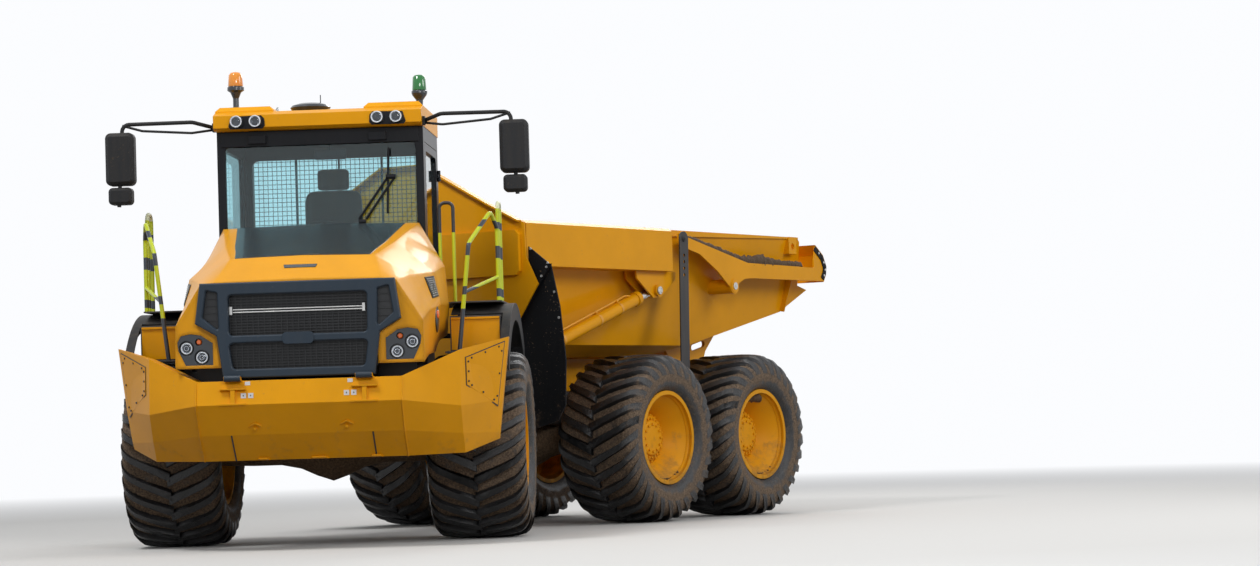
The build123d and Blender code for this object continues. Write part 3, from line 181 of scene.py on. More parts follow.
# One group of nodes for the site's mud: it lies thick below a level and spatters above it, and
# dust settles on what faces up.
site_mud = bpy.data.node_groups.new("site_mud", "ShaderNodeTree")
for label, kind, usual in (
    ("Paint", "Color", (0.8, 0.8, 0.8, 1)), ("Dust", "Float", 0.4), ("Mud", "Float", 0.5),
    ("Mud Level", "Float", 1.0), ("Spatter", "Float", 0.5), ("Roughness", "Float", 0.4),
):
    socket = site_mud.interface.new_socket(label, in_out="INPUT", socket_type="NodeSocket" + kind)
    socket.default_value = usual
for label, kind in (("Colour", "Color"), ("Roughness", "Float"), ("Height", "Float")):
    site_mud.interface.new_socket(label, in_out="OUTPUT", socket_type="NodeSocket" + kind)
given = site_mud.nodes.new("NodeGroupInput").outputs
gives = site_mud.nodes.new("NodeGroupOutput").inputs
tree = site_mud
place = make_node(tree, "TexCoord").outputs["Object"]
broad, patch = noise_at(tree, place, 1.7, 5), noise_at(tree, place, 7, 8, 0.65)
grit = noise_at(tree, place, 55, 6, 0.7)
run_map = make_node(tree, "Mapping", Scale=(9, 9, 0.9))
axes, facing = make_node(tree, "SeparateXYZ"), make_node(tree, "SeparateXYZ")
aged = make_node(tree, "VectorMath", operation="SCALE")
wire(tree, (place, run_map.inputs["Vector"]), (place, axes.inputs[0]),
     (make_node(tree, "NewGeometry").outputs["Normal"], facing.inputs[0]),
     (given["Paint"], aged.inputs[0]),
     (math_node(tree, "MULTIPLY_ADD", broad, 0.34, 0.83), aged.inputs["Scale"]))
runs = noise_at(tree, run_map.outputs[0], 2.2, 5)
upward = step_at(tree, facing.outputs["Z"], 0.15, 0.95)
film = math_node(tree, "MULTIPLY_ADD", upward, 0.55, 0.2)
film = math_node(tree, "MULTIPLY", film, step_at(tree, runs, 0.35, 0.75))
film = math_node(tree, "MULTIPLY", film, given["Dust"], clamp=True)
below = math_node(tree, "SUBTRACT", given["Mud Level"], axes.outputs["Z"])
ragged = math_node(tree, "MULTIPLY_ADD", patch, 2.2, -1.05)
sunk = step_at(tree, math_node(tree, "MULTIPLY_ADD", below, 1.1, ragged), -0.1, 0.45)
caked = math_node(tree, "MULTIPLY", sunk, given["Mud"], clamp=True)
flecks = step_at(tree, math_node(tree, "MULTIPLY_ADD", patch, 0.45, grit), 0.86, 0.93)
flecks = math_node(tree, "MULTIPLY", flecks, given["Spatter"], clamp=True)
cover = math_node(tree, "MAXIMUM", caked, flecks)
soil = mix_colour(tree, step_at(tree, grit, 0.35, 0.7), mud_brown, dry_soil)
dusty = mix_colour(tree, film, aged.outputs[0], dust_tan)
coarse = math_node(tree, "MULTIPLY_ADD", grit, 0.12, given["Roughness"])
matt = math_node(tree, "MAXIMUM", cover, film)
matt = math_node(tree, "MULTIPLY_ADD", matt, 0.5, coarse, clamp=True)
thick = math_node(tree, "MULTIPLY", cover, math_node(tree, "MULTIPLY_ADD", grit, 0.6, 0.5))
wire(tree, (mix_colour(tree, cover, dusty, soil), gives["Colour"]), (matt, gives["Roughness"]),
     (thick, gives["Height"]))


def muddy(name, paint, rough, dust=0.4, mud=0.5, level=1.0, spatter=0.4, soft_edge=0.006, **shader):
    """A finish under the site's mud, with the edges of plates rounded by the light on them."""
    finish = bpy.data.materials.new(name)
    finish.use_nodes = True
    tree = finish.node_tree
    surface = tree.nodes["Principled BSDF"]
    mud_node = tree.nodes.new("ShaderNodeGroup")
    mud_node.node_tree = site_mud
    for socket, value in (("Paint", paint), ("Dust", dust), ("Mud", mud), ("Mud Level", level),
                          ("Spatter", spatter), ("Roughness", rough)):
        mud_node.inputs[socket].default_value = value
    bump = make_node(tree, "Bump", Strength=0.6, Distance=0.006)
    wire(tree, (mud_node.outputs["Colour"], surface.inputs["Base Color"]),
         (mud_node.outputs["Roughness"], surface.inputs["Roughness"]),
         (mud_node.outputs["Height"], bump.inputs["Height"]),
         (bump.outputs[0], surface.inputs["Normal"]))
    if soft_edge:
        rounded = make_node(tree, "Bevel", samples=4, Radius=soft_edge)
        wire(tree, (rounded.outputs[0], bump.inputs["Normal"]))
    for key, value in shader.items():
        surface.inputs[key.replace("_", " ")].default_value = value
    return finish


def finish_piece(name, shape, body, material, place=in_front, angle=35):
    """Turns a bmesh into a finished piece that sits at the origin and rides on its body."""
    bmesh.ops.transform(shape, matrix=place, verts=shape.verts)
    bmesh.ops.recalc_face_normals(shape, faces=shape.faces)
    mesh = bpy.data.meshes.new(name)
    shape.to_mesh(mesh)
    shape.free()
    mesh.shade_smooth()
    mesh.set_sharp_from_angle(angle=radians(angle))
    mesh.materials.append(material)
    made = bpy.data.objects.new(name, mesh)
    bpy.context.scene.collection.objects.link(made)
    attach(made, body)
    return made


def spin_profile(shape, points, steps=96):
    """Turns an (across, radius) outline once round an axle along Y."""
    verts = [shape.verts.new((0, w, r)) for w, r in points]
    edges = [shape.edges.new(pair) for pair in zip(verts, verts[1:])]
    bmesh.ops.spin(shape, geom=verts + edges, cent=(0, 0, 0), axis=(0, 1, 0), angle=2 * pi,
                   steps=steps, use_merge=True)
    bmesh.ops.remove_doubles(shape, verts=shape.verts, dist=1e-5)


def add_to(shape, part, name):
    """Joins a finished bmesh to another, and frees it."""
    scratch = bpy.data.meshes.new(name)
    part.to_mesh(scratch)
    part.free()
    shape.from_mesh(scratch)
    bpy.data.meshes.remove(scratch)


def tyre_skin(u):
    """Across and radius of the carcass, from the centre line at 0 to the foot of a lug at 1."""
    line = ((0, 0.707), (0.12, 0.7055), (0.22, 0.701), (0.3, 0.693), (0.348, 0.677),
            (0.379, 0.644), (0.392, 0.6), (0.396, 0.555))
    k = min(u, 0.9999) * (len(line) - 1)
    i = int(k)
    return tuple(a + (b - a) * (k - i) for a, b in zip(line[i], line[i + 1]))


rubber = bpy.data.materials.new("tyre_rubber_muddy")
rubber.use_nodes = True
tree = rubber.node_tree
surface = tree.nodes["Principled BSDF"]
where = make_node(tree, "TexCoord").outputs["Object"]
tread = make_node(tree, "Attribute", attribute_name="tread").outputs["Fac"]
clods, fine = noise_at(tree, where, 13, 8, 0.7), noise_at(tree, where, 70, 6, 0.7)
smear = noise_at(tree, where, 4.5, 5)
packed = math_node(tree, "ADD", math_node(tree, "SUBTRACT", 1, tread),
                   math_node(tree, "MULTIPLY_ADD", clods, 1.7, -0.98))
packed = math_node(tree, "ADD", packed, math_node(tree, "MULTIPLY_ADD", smear, 0.9, -0.5))
packed = step_at(tree, packed, 0.16, 0.7)
black = mix_colour(tree, step_at(tree, fine, 0.45, 0.8), (0.006, 0.0065, 0.008, 1),
                   (0.022, 0.021, 0.021, 1))
clay = mix_colour(tree, step_at(tree, fine, 0.3, 0.75), (0.04, 0.026, 0.017, 1),
                  (0.26, 0.18, 0.115, 1))
crust = math_node(tree, "ADD", clods, math_node(tree, "MULTIPLY", fine, 0.5))
bump = make_node(tree, "Bump", Strength=0.85, Distance=0.012)
wire(tree, (mix_colour(tree, packed, black, clay), surface.inputs["Base Color"]),
     (math_node(tree, "MULTIPLY_ADD", packed, 0.5, 0.36), surface.inputs["Roughness"]),
     (crust, bump.inputs["Height"]), (bump.outputs[0], surface.inputs["Normal"]))

sidewall_radius, crown_half = 0.5, 0.33
tyre_form = bmesh.new()
carcass = [(0.326, 0.404), (0.331, 0.424), (0.352, 0.433), (0.366, 0.452), (0.372, 0.458),
           (0.383, 0.48), (0.392, 0.52)]
carcass += [tyre_skin(1 - i / 9) for i in range(1, 10)]
carcass = [(-w, r) for w, r in carcass] + [(w, r) for w, r in reversed(carcass[:-1])]
spin_profile(tyre_form, carcass, steps=168)
for v in tyre_form.verts:
    r = Vector((v.co.x, 0, v.co.z))
    if r.length > sidewall_radius:
        lump = noise.fractal(v.co * 9, 0.8, 2, 4) * 0.011 + noise.noise(v.co * 26) * 0.005
        v.co += r.normalized() * max(lump, -0.006) * (1 if abs(v.co.y) < crown_half else 0.4)
carcass_verts = len(tyre_form.verts)

lug_count, lug_sweep, lug_height, shoulder = 29, 0.38, 0.043, 0.55
for side in (1, -1):
    lug = bmesh.new()
    bmesh.ops.create_grid(lug, x_segments=11, y_segments=1, size=0.5)
    top = bmesh.ops.extrude_face_region(lug, geom=list(lug.faces))["geom"]
    raised = {g for g in top if isinstance(g, bmesh.types.BMVert)}
    for v in lug.verts:
        u, across = v.co.x + 0.5, v.co.y * 2
        w, r = tyre_skin(u * 0.97)
        w = max(w - 0.012, -0.02) if u < 0.05 else w
        width = 0.029 + 0.014 * (1 - u) ** 3 + 0.009 * u ** 2
        if v in raised:
            width -= 0.007
            wear = noise.noise(Vector((u * 7, across * 3, side))) * 0.003
            rise = lug_height - 0.026 * max(0, u - shoulder) / 0.45 + wear
            if u > shoulder:
                w += rise * 0.10 * (u - 0.5)
            r += rise
        stagger = 0.5 * pi / lug_count if side < 0 else 0
        turn = lug_sweep * (u ** 0.8) + across * width / r - stagger
        v.co = Vector((r * cos(turn), side * w, r * sin(turn)))
    edges = [e for e in lug.edges if all(v in raised for v in e.verts) and not e.is_boundary
             and e.calc_face_angle(0) > 0.5]
    bmesh.ops.bevel(lug, geom=edges, offset=0.006, segments=1, profile=0.5, affect="EDGES",
                    material=-1, clamp_overlap=True)
    bottom = [f for f in lug.faces if f.calc_center_median().length < 0.2]
    bmesh.ops.delete(lug, geom=bottom, context="FACES")
    bmesh.ops.spin(lug, geom=lug.verts[:] + lug.edges[:] + lug.faces[:], cent=(0, 0, 0),
                   axis=(0, 1, 0), angle=2 * pi, steps=lug_count, use_duplicate=True)
    add_to(tyre_form, lug, "lug_ring")

outer_radius, half_width = 0.7495, 0.3995
tread_layer = tyre_form.verts.layers.float.new("tread")
tyre_form.verts.ensure_lookup_table()
for i, v in enumerate(tyre_form.verts):
    shrink = min(1, outer_radius / Vector((v.co.x, 0, v.co.z)).length)
    across = max(-half_width, min(half_width, v.co.y))
    v.co = Vector((v.co.x * shrink, across, v.co.z * shrink))
    radius = Vector((v.co.x, 0, v.co.z)).length
    if i < carcass_verts:
        v[tread_layer] = 0.62 if radius < sidewall_radius else 0.12
    else:
        v[tread_layer] = 1.0 if radius > 0.73 - 0.3 * max(0, abs(v.co.y) - 0.3) else 0.6

half_track, axle_z = 1.216, 0.75
axles = {"front": (in_front, 0), "mid": (in_rear, -2.508), "rear": (in_rear, -4.101)}
wheels = [(f"{row}_{side}", unit @ Matrix.Translation((x, sign * half_track, axle_z)), x, sign)
          for row, (unit, x) in axles.items() for side, sign in (("left", 1), ("right", -1))]
for name, hub, axle_x, sign in wheels:
    copy = tyre_form.copy()
    if sign < 0:
        bmesh.ops.scale(copy, vec=(1, -1, 1), verts=copy.verts)
    rolled = Matrix.Rotation(0.13 * axle_x + 0.4 * sign, 3, "Y")
    bmesh.ops.rotate(copy, cent=(0, 0, 0), matrix=rolled, verts=copy.verts)
    tyre = finish_piece(f"{name}_lugged_tyre", copy, f"{name}_wheel", rubber, hub,
                        60)
    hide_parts(f"{name}_tyre")
tyre_form.free()

# Rims: a deep welded dish of yellow steel with a pressed ring near its flange. The planetary hub
# closes its middle under a cover with circles of bolts. Crumbs of mud lie inside the flange.


def slab(shape, x, y, z):
    """A block between two limits on each axis."""
    made = bmesh.ops.create_cube(shape, size=1)["verts"]
    bmesh.ops.scale(shape, vec=(x[1] - x[0], y[1] - y[0], z[1] - z[0]), verts=made)
    middle = ((x[0] + x[1]) / 2, (y[0] + y[1]) / 2, (z[0] + z[1]) / 2)
    bmesh.ops.translate(shape, vec=middle, verts=made)


def rod(shape, start, end, radius, sides=12, tip=None):
    """A round bar between two points."""
    start, end = Vector(start), Vector(end)
    turn = (end - start).to_track_quat("Z", "Y").to_matrix().to_4x4()
    bmesh.ops.create_cone(shape, cap_ends=True, segments=sides, radius1=radius,
                          radius2=radius if tip is None else tip, depth=(end - start).length,
                          matrix=Matrix.Translation((start + end) / 2) @ turn)


def plate(shape, outline, depth):
    """A flat plate: a closed outline of points in space, pushed out by one vector."""
    face = shape.faces.new([shape.verts.new(p) for p in outline])
    grown = bmesh.ops.extrude_face_region(shape, geom=[face], use_keep_orig=True)["geom"]
    moved = [g for g in grown if isinstance(g, bmesh.types.BMVert)]
    bmesh.ops.translate(shape, vec=depth, verts=moved)


def bent(shape, route, radius, sides=10):
    """Round bars along a route, with a ball at each bend."""
    for a, b in zip(route, route[1:]):
        rod(shape, a, b, radius, sides)
    for p in route[1:-1]:
        bmesh.ops.create_icosphere(shape, subdivisions=1, radius=radius * 1.01,
                                   matrix=Matrix.Translation(p))


def clod(shape, place, size, squash=0.6, seed=0.0, detail=2):
    """A lump of mud."""
    for v in bmesh.ops.create_icosphere(shape, subdivisions=detail, radius=1)["verts"]:
        v.co *= 1 + 0.45 * noise.noise(v.co * 1.7 + Vector((seed, seed * 3, 1)))
        v.co.z *= squash
        v.co = v.co * size + Vector(place)


rim_coat = muddy("rim_coat", (0.76, 0.33, 0.002, 1), 0.4, dust=0.05, mud=0.5, level=0.55,
                 spatter=0.4, Specular_IOR_Level=0.2)
soil_heap = muddy("caked_soil", (0.055, 0.035, 0.022, 1), 0.9, dust=0.05, mud=0.35, level=4,
                  spatter=0.3, soft_edge=0)
dark_steel = muddy("dark_bolts", (0.03, 0.03, 0.032, 1), 0.4, dust=0.15, mud=0.1, level=0.6,
                   Metallic=0.7)
silver = muddy("zinc_bolts", (0.55, 0.55, 0.54, 1), 0.32, dust=0.15, mud=0.05, level=0.6,
               spatter=0.1, Metallic=0.9)
dish = ((0.329, 0.381), (0.318, 0.381), (0.306, 0.372), (0.292, 0.368), (0.284, 0.358),
        (0.12, 0.232), (0.1, 0.224), (0.1, 0.17))
valve = ((0.262, 0.19, -0.09), (0.285, 0.222, -0.09), (0.29, 0.235, -0.03), (0.27, 0.205, 0.0))
hub_steps = ((0.095, 0.226), (0.118, 0.222), (0.124, 0.205), (0.146, 0.196), (0.152, 0.186),
             (0.152, 0.162), (0.168, 0.155), (0.174, 0.145), (0.174, 0.0))
bolt_circles = ((18, 0.207, 0.120, 0.0135), (24, 0.174, 0.151, 0.010), (12, 0.122, 0.172, 0.012))
bolt_length, flange_radius, heap_radius = 0.016, 0.368, 0.345
for name, hub, axle_x, sign in wheels:
    spot, wheel = hub @ Matrix.Scale(sign, 4, (0, 1, 0)), f"{name}_wheel"
    shape, cover, crumbs = bmesh.new(), bmesh.new(), bmesh.new()
    spin_profile(shape, dish, steps=72)
    bmesh.ops.solidify(shape, geom=shape.faces[:], thickness=0.0008)
    bent(shape, valve, 0.008, 8)
    finish_piece(f"{wheel}_dish", shape, wheel, rim_coat, spot, 30)
    spin_profile(cover, hub_steps, steps=48)
    for count, reach, face, size in bolt_circles:
        for i in range(count):
            x, z = reach * cos(2 * pi * i / count), reach * sin(2 * pi * i / count)
            rod(cover, (x, face, z), (x, face + bolt_length, z), size, 6)
    finish_piece(f"{wheel}_hub_cover", cover, wheel, rim_coat, spot, 30)
    for i in range(26):
        a = -pi / 2 + 1.15 * noise.noise(Vector((i * 3.7, axle_x, sign)))
        w = 0.30 + 0.025 * noise.noise(Vector((axle_x, i * 2.3, sign)))
        size = 0.007 + 0.012 * abs(noise.noise(Vector((i * 1.9, sign, 4))))
        clod(crumbs, (flange_radius * cos(a), w, flange_radius * sin(a)), size, 0.7, i, 1)
    if name.startswith("rear"):
        for i in range(7):
            a, off = pi / 2 + 0.12 * (i - 3), abs(i - 3)
            clod(crumbs, (heap_radius * cos(a), 0.27 - 0.01 * off, heap_radius * sin(a)),
                 0.058 - 0.008 * off, 0.8, i * 2.1)
    finish_piece(f"{wheel}_crumbs", crumbs, wheel, soil_heap, spot, 60)

# Painted steel. The yellow is deep and glossy where it is washed by rain, with faint dust on top.
# Frames, cab and guards are black or dark grey, and everything low down is under mud.
yellow = (0.80, 0.345, 0.001, 1)
finishes = {
    "body_paint": muddy("yellow_coat", yellow, 0.38, dust=0.03, mud=0.3, level=0.6, spatter=0.2,
                        Coat_Weight=0.12, Coat_Roughness=0.08, Specular_IOR_Level=0.12),
    "rim_paint": rim_coat,
    "chassis_paint": muddy("chassis_black", (0.03, 0.029, 0.028, 1), 0.6, dust=0.45, mud=0.9,
                           level=0.95, spatter=0.8),
    "axle_casting": muddy("axle_iron", (0.06, 0.05, 0.045, 1), 0.7, dust=0.6, mud=1.0, level=1.3,
                          spatter=1.0),
    "engine_iron": muddy("engine_iron", (0.05, 0.05, 0.05, 1), 0.6, dust=0.4, mud=0.3, level=0.9),
    "radiator_black": muddy("radiator_black", (0.010, 0.010, 0.011, 1), 0.6, dust=0.2, mud=0.1,
                            level=0.9, Specular_IOR_Level=0.25),
    "grille_grey": muddy("grille_blue_grey", (0.020, 0.034, 0.052, 1), 0.34, dust=0.06, mud=0.1,
                         level=0.7, spatter=0.1, Specular_IOR_Level=0.3),
    "cab_black": muddy("cab_black", (0.005, 0.006, 0.009, 1), 0.32, dust=0.03, mud=0.1, level=0.9,
                       spatter=0.08, Coat_Weight=0.08, Specular_IOR_Level=0.16),
    "deck_steel": muddy("deck_grey", (0.035, 0.037, 0.04, 1), 0.55, dust=0.5, mud=0.4, level=1.2,
                        spatter=0.5),
    "guard_plastic": muddy("guard_grey", (0.012, 0.013, 0.015, 1), 0.5, dust=0.1, mud=0.3,
                           level=1.1, spatter=0.4, Specular_IOR_Level=0.25),
    "lamp_plastic": muddy("lamp_housing", (0.016, 0.022, 0.03, 1), 0.25, dust=0.02, mud=0.0,
                          level=0.5, spatter=0.05, Coat_Weight=0.4),
    "flap_rubber": muddy("flap_rubber", (0.003, 0.0035, 0.005, 1), 0.5, dust=0.04, mud=0.7,
                         level=0.75, spatter=0.8, Specular_IOR_Level=0.15),
    "strap_steel": muddy("strap_steel", (0.035, 0.034, 0.036, 1), 0.45, dust=0.3, mud=0.3,
                         level=1.3, spatter=0.35, Metallic=0.5),
    "cylinder_paint": muddy("cylinder_yellow", yellow, 0.33, dust=0.2, mud=0.35, level=1.0,
                            spatter=0.35, Coat_Weight=0.3),
    "rod_chrome": muddy("rod_chrome", (0.6, 0.6, 0.6, 1), 0.18, dust=0.1, mud=0.1, level=0.9,
                        spatter=0.03, Metallic=1.0),
}
coat, black_paint, housing = (finishes[n] for n in ("body_paint", "cab_black", "lamp_plastic"))
moulded = muddy("moulded_hood_yellow", yellow, 0.36, dust=0.03, mud=0, level=0, spatter=0.12,
                soft_edge=0.045, Coat_Weight=0.2, Coat_Roughness=0.06, Specular_IOR_Level=0.2)


def plain(name, colour, rough, **shader):
    """A clean finish of one colour."""
    finish = bpy.data.materials.new(name)
    finish.use_nodes = True
    surface = finish.node_tree.nodes["Principled BSDF"]
    for key, value in {"Base Color": colour, "Roughness": rough, **shader}.items():
        surface.inputs[key.replace("_", " ")].default_value = value
    return finish


tinted = plain("tinted_glass", (0.62, 0.84, 0.88, 1), 0.03, Transmission_Weight=1, IOR=1.45)
finishes["cab_glazing"] = tinted
chrome = plain("lamp_reflector", (0.88, 0.92, 0.97, 1), 0.3, Metallic=0.2)
clear = plain("lamp_lens", (0.92, 0.95, 1, 1), 0.04, Transmission_Weight=1, IOR=1.3)
orange_lens = plain("orange_lens", (0.85, 0.16, 0.02, 1), 0.15, Coat_Weight=0.5)

# Handrails: steel tube in yellow-green high-visibility paint, with dark bands where the tape is
# worn off. The grab rail beside the door has a dark upper half.
band_low, band_high, grab_dark_above, rail_x_behind = 1.4, 2.8, 2.46, 0.34
hi_vis, dark_band = (0.52, 0.60, 0.012, 1), (0.03, 0.04, 0.055, 1)
faded_end, grab_black = (0.72, 0.74, 0.5, 1), (0.012, 0.013, 0.016, 1)
rail_finish = bpy.data.materials.new("banded_rails")
rail_finish.use_nodes = True
tree = rail_finish.node_tree
axes = make_node(tree, "SeparateXYZ")
bands = make_node(tree, "ValToRGB")
bands.color_ramp.interpolation = "CONSTANT"
for i, (level, colour) in enumerate((
    (band_low, dark_band), (1.82, hi_vis), (1.93, dark_band), (1.995, hi_vis), (2.235, dark_band),
    (2.33, hi_vis), (2.47, dark_band), (2.53, hi_vis), (2.64, faded_end),
)):
    stop = bands.color_ramp.elements[i] if i < 2 else bands.color_ramp.elements.new(1)
    stop.position, stop.color = (level - band_low) / (band_high - band_low), colour
height = make_node(tree, "MapRange", From_Min=band_low, From_Max=band_high)
wire(tree, (make_node(tree, "TexCoord").outputs["Object"], axes.inputs[0]),
     (axes.outputs["Z"], height.inputs["Value"]), (height.outputs[0], bands.inputs[0]))
grab_x, grab_y = in_front.translation.x + rail_x_behind, in_front.translation.y + 0.9
by_door = math_node(tree, "MULTIPLY", math_node(tree, "GREATER_THAN", axes.outputs["Y"], grab_y),
                    math_node(tree, "LESS_THAN", axes.outputs["Y"], grab_y + 0.2))
by_door = math_node(tree, "MULTIPLY", by_door,
                    math_node(tree, "LESS_THAN", axes.outputs["X"], grab_x))
upper = math_node(tree, "GREATER_THAN", axes.outputs["Z"], grab_dark_above)
grab_tone = mix_colour(tree, upper, hi_vis, grab_black)
surface = tree.nodes["Principled BSDF"]
wire(tree, (mix_colour(tree, by_door, bands.outputs[0], grab_tone), surface.inputs["Base Color"]))
surface.inputs["Roughness"].default_value = 0.4
finishes["rail_paint"] = rail_finish

# Every CAD piece takes the finish of its slot. The hood has the same yellow as the rest, but as a
# moulded shell its edges are rounder than a folded plate's.
for part in frame["record"]["subparts"]:
    shown = frame["nodes"].get(part["node"])
    if shown and part["material_slot"] in finishes:
        finish = moulded if part["node"] == "hood" else finishes[part["material_slot"]]
        shown.data.materials.clear()
        shown.data.materials.append(finish)

# Hood: one moulded shell in yellow. Its top carries a dark glossy panel from the windscreen to
# just short of the front lip, and each side has a slotted black vent and a marker lamp.
hood_lines = (
    (0.345, ((0, 2.560), (0.790, 2.545), (0.985, 2.190), (1.013, 1.870), (0.985, 1.560))),
    (1.000, ((0, 2.370), (0.670, 2.360), (0.960, 2.115), (1.013, 1.860), (0.985, 1.500))),
    (1.450, ((0, 2.252), (0.560, 2.240), (0.820, 2.075), (0.965, 1.800), (0.955, 1.460))),
    (1.735, ((0, 2.060), (0.640, 2.050), (0.750, 2.030), (0.945, 1.720), (0.950, 1.400))),
)
panel_ends = ((0.352, 0.86), (0.7, 0.87), (1.0, 0.885), (1.25, 0.9), (1.44, 0.93))
latch = ((1.565, -0.13), (1.6, -0.12), (1.6, 0.12), (1.565, 0.13))
vent_back, vent_front, vent_top, vent_foot = 1.02, 1.20, 2.12, 2.75
slat_count, slat_pitch, slat_depth, slat_inset, slat_margin = 9, 0.062, 0.03, 0.015, 0.06


def on_hood(x, step):
    """The point of the hood's skin at x; step counts 0 to 4 from the ridge round to the foot."""
    for (xa, a), (xb, b) in zip(hood_lines, hood_lines[1:]):
        if x <= xb:
            break
    t, i = (x - xa) / (xb - xa), min(int(step), 3)
    low, high = ([pa[k] + (pb[k] - pa[k]) * t for k in (0, 1)]
                 for pa, pb in ((a[i], b[i]), (a[i + 1], b[i + 1])))
    return Vector((x, low[0] + (high[0] - low[0]) * (step - i),
                   low[1] + (high[1] - low[1]) * (step - i)))


bonnet_black = muddy("bonnet_panel", (0.022, 0.036, 0.045, 1), 0.16, dust=0.1, mud=0, level=0,
                     spatter=0.12, Coat_Weight=0.5)
shape = bmesh.new()
rows = [[shape.verts.new(on_hood(x, edge * abs(k) / 3) * Vector((1, -1 if k < 0 else 1, 1)))
         for k in range(-3, 4)] for x, edge in panel_ends]
for ra, rb in zip(rows, rows[1:]):
    for i in range(6):
        shape.faces.new((ra[i], ra[i + 1], rb[i + 1], rb[i]))
bmesh.ops.recalc_face_normals(shape, faces=shape.faces)
bmesh.ops.solidify(shape, geom=shape.faces[:], thickness=-0.004)
plate(shape, [on_hood(x, 0) + Vector((0, y, 0.0005)) for x, y in latch], (0, 0, 0.004))
finish_piece("bonnet_panel", shape, "hood", bonnet_black, angle=20)


def side_corners(sign, x_back, x_front, top, foot, out=0.0):
    """Four corners of a patch on one side of the hood, held a little off its skin."""
    corners = ((x_back, top), (x_front, top), (x_front, foot), (x_back, foot))
    points = [on_hood(x, step) for x, step in corners]
    return [Vector((p.x, sign * (p.y + out), p.z)) for p in points]


shape, slots, cups, lens = (bmesh.new() for _ in range(4))
for sign in (1, -1):
    plate(shape, side_corners(sign, vent_back, vent_front, vent_top, vent_foot),
          (0, sign * 0.005, 0.001))
    for k in range(slat_count):
        step = vent_top + slat_margin + slat_pitch * k
        plate(slots, side_corners(sign, vent_back + slat_inset, vent_front - slat_inset, step,
                                  step + slat_depth, 0.005), (0, sign * 0.004, 0.002))
    at = on_hood(1.12, 3.28)
    for v in bmesh.ops.create_uvsphere(cups, u_segments=24, v_segments=12, radius=1)["verts"]:
        bulge = max(v.co.y * sign, -0.2) * 0.018
        v.co = Vector((at.x + v.co.x * 0.085, sign * (at.y - 0.004 + bulge), at.z + v.co.z * 0.11))
    for v in bmesh.ops.create_uvsphere(lens, u_segments=16, v_segments=8, radius=1)["verts"]:
        v.co = Vector((at.x + 0.045 + v.co.x * 0.03, sign * (at.y + 0.008) + v.co.y * 0.014,
                       at.z + 0.03 + v.co.z * 0.035))
finish_piece("hood_side_vents", shape, "hood", black_paint)
finish_piece("hood_vent_slats", slots, "hood", housing)
finish_piece("marker_lamp_cups", cups, "hood", housing)
finish_piece("marker_lamps", lens, "hood", orange_lens)

# Grille: the CAD's moulded frame, with a black mesh and slats behind its openings, two bright bars
# across the upper one and dark plates behind the slanted vents. A shroud closes round the radiator.
mesh_black = plain("grille_mesh", (0.006, 0.007, 0.009, 1), 0.45)
side_vent = ((0.603, 1.99), (0.715, 2.0), (0.74, 1.77), (0.598, 1.665))
grille_half, slat_step, upright_count = 0.545, 0.022, 25
shape = bmesh.new()
for sign in (1, -1):
    plate(shape, [(1.7365, sign * y, z) for y, z in side_vent], (0.004, 0, 0))
    for k in range(4):
        z = 1.76 + 0.055 * k
        slab(shape, (1.742, 1.752), sorted((sign * 0.61, sign * 0.71)), (z, z + 0.006))
for z0, z1 in ((1.632, 1.958), (1.377, 1.591)):
    count = round((z1 - z0) / slat_step)
    for k in range(count):
        z = z0 + (z1 - z0) * (k + 0.5) / count
        slab(shape, (1.716, 1.728), (-grille_half, grille_half), (z - 0.004, z + 0.004))
    for k in range(upright_count):
        y = -grille_half + 2 * grille_half * (k + 0.5) / upright_count
        slab(shape, (1.728, 1.732), (y - 0.0025, y + 0.0025), (z0, z1))
slab(shape, (1.70, 1.704), (-0.592, 0.592), (1.385, 1.985))
finish_piece("grille_mesh", shape, "hood", mesh_black)
shape = bmesh.new()
for z in (1.818, 1.838):
    slab(shape, (1.738, 1.744), (-0.50, 0.49), (z - 0.0045, z + 0.0045))
for y in (-0.515, 0.5):
    slab(shape, (1.736, 1.748), (y - 0.011, y + 0.011), (1.80, 1.862))
finish_piece("grille_bright_bars", shape, "hood", silver)
shape = bmesh.new()
for sign in (1, -1):
    slab(shape, (1.36, 1.375), sorted((sign * 0.5605, sign * 0.85)), (1.30, 1.93))
finish_piece("radiator_shroud", shape, "front_unit", mesh_black)

# Lamps: three round ones in each dark headlamp housing, two clear with bright bowls and a small
# orange one between them. Four round work lamps sit under the roof's lip.
headlamps, headlamp_radius, headlamp_face = ((0.862, 1.556), (0.745, 1.485)), 0.044, 1.724
turn_y, turn_z = 0.768, 1.602
work_lamps, work_lamp_radius = (-0.642, -0.490, 0.490, 0.642), 0.0475
recess = ((0.44, 3.338), (0.70, 3.338), (0.715, 3.36), (0.69, 3.44), (0.45, 3.445), (0.425, 3.42),
          (0.42, 3.36))


def round_lamp(bowl, glass, place, radius):
    """A lamp that faces forward: a ring, a bowl with its bulb, and a lens that bulges a little."""
    turn = Matrix.Translation(place) @ Matrix.Rotation(-pi / 2, 4, "Z")
    for shape, points, steps in (
        (bowl, ((0.004, 1), (0.010, 0.97), (0.010, 0.86), (-0.012, 0.6), (-0.016, 0)), 32),
        (glass, ((0.0085, 0.85), (0.014, 0.6), (0.017, 0.3), (0.018, 0)), 24),
    ):
        part = bmesh.new()
        spin_profile(part, [(depth, radius * r or 0.001) for depth, r in points], steps)
        bmesh.ops.transform(part, matrix=turn, verts=part.verts)
        bmesh.ops.recalc_face_normals(part, faces=part.faces)
        add_to(shape, part, "lamp_part")


